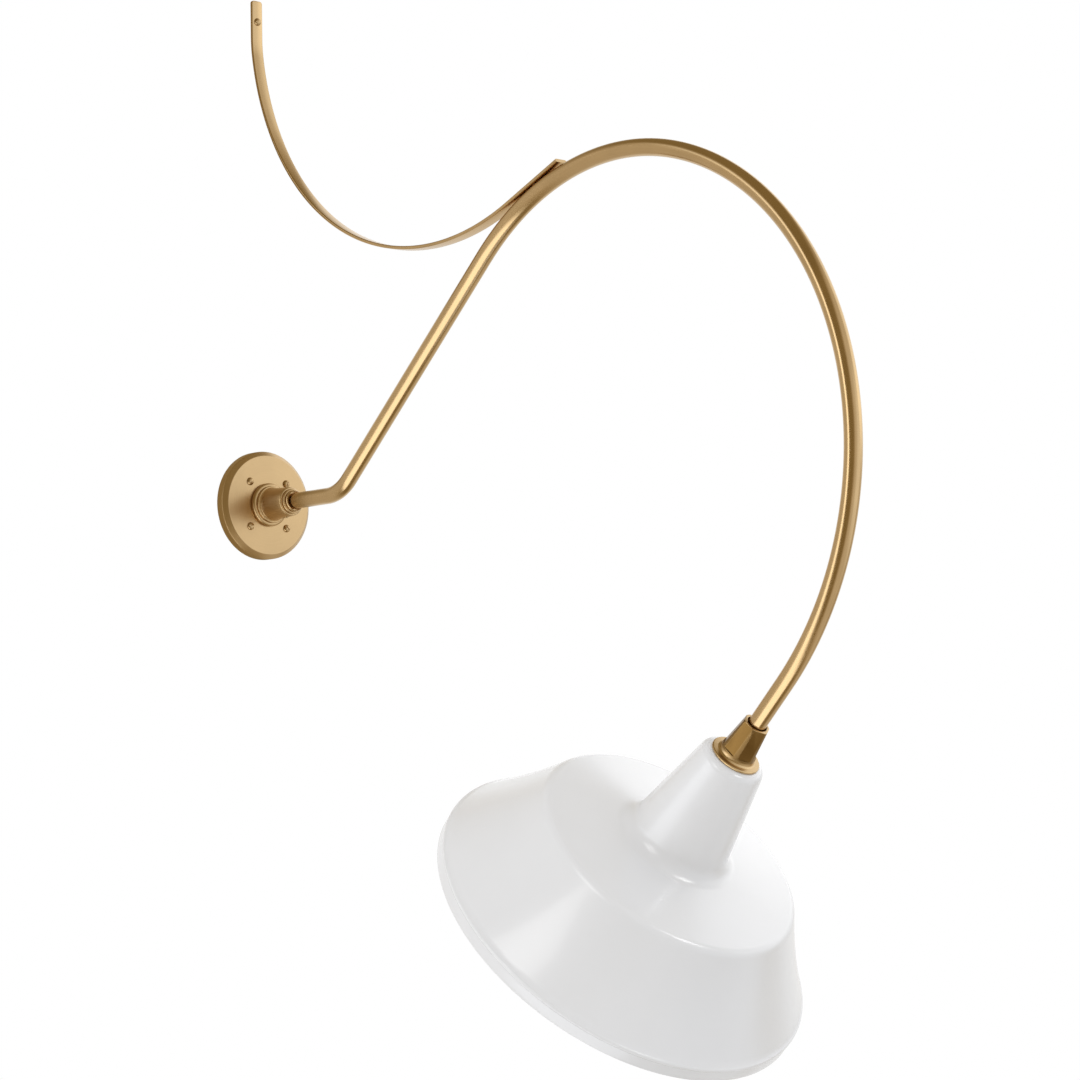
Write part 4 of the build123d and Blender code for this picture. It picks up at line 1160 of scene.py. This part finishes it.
class SCONCE_OT_studio(SconcePiece, bpy.types.Operator):
    """Set up the floor, the wall card, the lamps, the room light and the camera"""
    bl_idname = "sconce.studio"
    bl_label = "Studio"

    def execute(self, context):
        studio = context.scene.sconce_studio
        gloss = studio.gloss_level
        self.camera(context)
        self.room(context, studio.sky)
        self.floor(studio.floor_level)
        self.wall_card()
        self.lamp(context, "left soft box", -97, 2, 2.6, (0.9, 3.0), studio.key_level)
        self.lamp(context, "right soft box", 34, 48, 3.2, (2.2, 2.4), studio.fill_level)
        self.gloss_lamp(context, "left gloss box", -71, 28, (0.9, 1.1), gloss)
        self.gloss_lamp(context, "front gloss box", 20, 30, (0.7, 0.6), gloss * 2.5)
        self.gloss_lamp(context, "side gloss box", 93, 33, (2.0, 1.4), gloss * 0.28)
        context.scene.view_settings.view_transform = "Standard"
        return {"FINISHED"}

    def outward(self, azimuth, elevation):
        """Direction from the light to a place round it, from angles in degrees"""
        a, e = radians(azimuth), radians(elevation)
        return Vector((sin(a) * cos(e), -cos(a) * cos(e), sin(e)))

    def camera(self, context):
        """The photograph's viewpoint: it looks a little up at the light, from its left"""
        azimuth, elevation, roll = -42.25, -5.61, radians(-1.12)
        focal_px, frame_px, distance = 3176.66, 1080.0, 3.82773
        origin_px = (260.66, 506.23)
        sensor = 36.0
        back = self.outward(azimuth, elevation)
        right = (-back).cross(Vector((0, 0, 1))).normalized()
        up = right.cross(-back)
        x = right * cos(roll) + up * sin(roll)
        y = up * cos(roll) - right * sin(roll)
        across, down = ((px - frame_px / 2) / focal_px * distance for px in origin_px)
        data = bpy.data.cameras.new("camera")
        data.sensor_width = sensor
        data.lens = focal_px / frame_px * sensor
        data.clip_end = 60.0
        camera = bpy.data.objects.new("camera", data)
        place = Matrix((x, y, back)).transposed().to_4x4()
        place.translation = back * distance - x * across + y * down
        camera.matrix_world = place
        context.scene.collection.objects.link(camera)
        context.scene.camera = camera

    def lamp(self, context, name, azimuth, elevation, distance, size, brightness, aim=(0.0, -0.45, 0.0)):
        """A soft box at a direction from its aim; its brightness is that of its own face"""
        out = self.outward(azimuth, elevation)
        data = bpy.data.lights.new(name, "AREA")
        data.shape = "RECTANGLE"
        data.size, data.size_y = size
        data.energy = brightness * pi * size[0] * size[1]
        lamp = bpy.data.objects.new(name, data)
        lamp.location = Vector(aim) + out * distance
        lamp.rotation_euler = out.to_track_quat("Z", "Y").to_euler()
        lamp.visible_glossy = False
        context.scene.collection.objects.link(lamp)
        return lamp

    def gloss_lamp(self, context, name, azimuth, elevation, size, brightness):
        """A small soft box that only the enamel's gloss shows"""
        lamp = self.lamp(context, name, azimuth, elevation, 2.5, size, brightness, (0.0, -0.90, -0.45))
        lamp.visible_glossy = True
        lamp.visible_diffuse = False
        shade_only = bpy.data.collections.new(name)
        shade_only.objects.link(bpy.data.objects["shade_enamelled"])
        lamp.light_linking.receiver_collection = shade_only

    def room(self, context, strength):
        """White to the camera, even to matt surfaces, and to gloss a room with lit and unlit sides

        Each lit side is a brightness times its soft edges, by the way that a ray leaves: x is to the
        right, y is towards the wall and z is up.
        """
        world = bpy.data.worlds.new("room")
        context.scene.world = world
        world.use_nodes = True
        tree = world.node_tree
        paths = add(tree, "ShaderNodeLightPath").outputs
        way = x, y, z = parts_of(tree, add(tree, "ShaderNodeTexCoord").outputs["Generated"])

        def edge(source, low, high):
            return smooth_step(tree, source, low, high)

        def side(brightness, *edges):
            return times(tree, *edges, brightness)

        def toward(*parts):
            return plus(tree, *(times(tree, axis, part) for axis, part in zip(way, parts)))

        behind = side(0.38, edge(y, 0.10, 0.50), edge(z, 0.80, 0.30))
        past = side(0.62, edge(toward(0.67, 0.74, 0.10), 0.35, 0.80), edge(z, 0.72, 0.35))
        facing = toward(0.67, -0.74, 0.0)
        front = side(0.45, edge(facing, 0.05, 0.50), edge(x, 0.95, 0.75),
                     edge(toward(-0.40, 0.44, 1.0), 0.80, 0.30), edge(z, -0.97, -0.75))
        panel = side(0.95, edge(x, 0.50, 0.66), edge(z, -0.10, 0.20), edge(z, 0.80, 0.70))
        face_on = side(0.30, edge(facing, 0.60, 0.92), edge(z, 0.5, 0.3), edge(z, -0.5, -0.3))
        off_band = plus(tree, maths(tree, "ABSOLUTE", plus(tree, y, times(tree, z, -0.42), -0.24)),
                        side(-0.10, edge(z, 0.0, -0.9)))
        band = side(1.75, edge(off_band, 0.20, 0.11), edge(x, -0.10, -0.30), edge(z, 0.75, 0.15))
        unlit = 0.30
        level = plus(tree, unlit, maths(tree, "MAXIMUM", behind, front, past, panel), face_on, band)
        tone = ramp(tree, level, (0.0, BLACK), (0.31, (0.31, 0.235, 0.11)), (0.60, (0.60, 0.525, 0.405)),
                    (1.0, WHITE))
        camera = paths["Is Camera Ray"]
        mirror = maths(tree, "MAXIMUM", paths["Is Glossy Ray"], paths["Is Transmission Ray"])
        gloss_only = times(tree, mirror, maths(tree, "SUBTRACT", 1.0, camera))
        seen = mixed(tree, mirror, strength, maths(tree, "MAXIMUM", level, 1.0))
        fill(tree, tree.nodes["Background"], Strength=mixed(tree, camera, seen, 1.0),
             Color=mixed(tree, gloss_only, (*WHITE, 1), tone, data_type="RGBA"))

    def floor(self, height):
        deselect_all()
        bpy.ops.mesh.primitive_plane_add(size=14.0, location=(0, -0.5, height))
        floor = named("studio_floor")
        floor.data.materials.append(studio_paint())
        floor.visible_glossy = False

    def wall_card(self):
        """White wall just behind the plate for the camera; to gloss it shows a painted shadow round the plate
        and beside the brace
        """
        deselect_all()
        bpy.ops.mesh.primitive_plane_add(size=2.2, location=(0, 0.0015, 0.1), rotation=WALL_TURN)
        card = named("studio_wall")
        settle(card)
        mat = new_material("studio wall")
        tree = mat.node_tree
        tree.nodes.remove(tree.nodes["Principled BSDF"])
        paths = add(tree, "ShaderNodeLightPath").outputs
        front = maths(tree, "SUBTRACT", 1.0, add(tree, "ShaderNodeNewGeometry").outputs["Backfacing"])
        place = object_space(tree)
        x, _, z = parts_of(tree, place)
        # Painted shadow: gloss rays see the card dark round the plate and beside the brace.
        shadow_by_plate = smooth_step(tree, length_of(tree, place), 0.092, 0.078)
        off_brace = plus(tree, maths(tree, "ABSOLUTE", x), times(tree, z, 0.40))
        shadow_by_brace = times(tree, smooth_step(tree, off_brace, 0.310, 0.285), smooth_step(tree, z, 0.30, 0.38))
        painted_shadow_mask = maths(tree, "MAXIMUM", shadow_by_plate, shadow_by_brace)
        clear = add(tree, "ShaderNodeBsdfTransparent")
        # The painted shadow's dark warm colour.
        dark = add(tree, "ShaderNodeEmission", Color=(0.36, 0.28, 0.15, 1), Strength=1.0)
        white = add(tree, "ShaderNodeEmission", Color=(*WHITE, 1), Strength=1.0)
        gloss = blend(tree, times(tree, paths["Is Glossy Ray"], painted_shadow_mask, front), clear, dark)
        card_face = blend(tree, times(tree, paths["Is Camera Ray"], front), gloss, white)
        fill(tree, tree.nodes["Material Output"], Surface=card_face.outputs[0])
        card.data.materials.append(mat)


STEPS = (SCONCE_OT_wall_plate, SCONCE_OT_hub, SCONCE_OT_arm, SCONCE_OT_brace, SCONCE_OT_screws,
         SCONCE_OT_holder, SCONCE_OT_shade, SCONCE_OT_lampholder, SCONCE_OT_wiring, SCONCE_OT_studio)
GROUPS = (("sconce_arm", SconceArmSizes), ("sconce_shade", SconceShadeSizes),
          ("sconce_wall", SconceWallSizes), ("sconce_finish", SconceFinishes),
          ("sconce_studio", SconceStudio))


class SCONCE_PT_panel(bpy.types.Panel):
    """Sizes, colours and pieces of the wall sconce"""
    bl_label = "Gooseneck Sconce"
    bl_idname = "SCONCE_PT_panel"
    bl_space_type = "VIEW_3D"
    bl_region_type = "UI"
    bl_category = "Sconce"

    def draw(self, context):
        for attribute, group in GROUPS:
            box = self.layout.box()
            box.label(text=group.__doc__)
            for name in group.__annotations__:
                box.prop(getattr(context.scene, attribute), name)
        column = self.layout.column(align=True)
        for step in STEPS:
            column.operator(step.bl_idname)


def register():
    for attribute, group in GROUPS:
        bpy.utils.register_class(group)
        setattr(bpy.types.Scene, attribute, PointerProperty(type=group))
    for made in (*STEPS, SCONCE_PT_panel):
        bpy.utils.register_class(made)


def unregister():
    for made in (SCONCE_PT_panel, *reversed(STEPS)):
        bpy.utils.unregister_class(made)
    for attribute, group in reversed(GROUPS):
        delattr(bpy.types.Scene, attribute)
        bpy.utils.unregister_class(group)


def main():
    register()
    for step in STEPS:
        family, name = step.bl_idname.split(".")
        getattr(getattr(bpy.ops, family), name)()


if __name__ == "__main__":
    main()
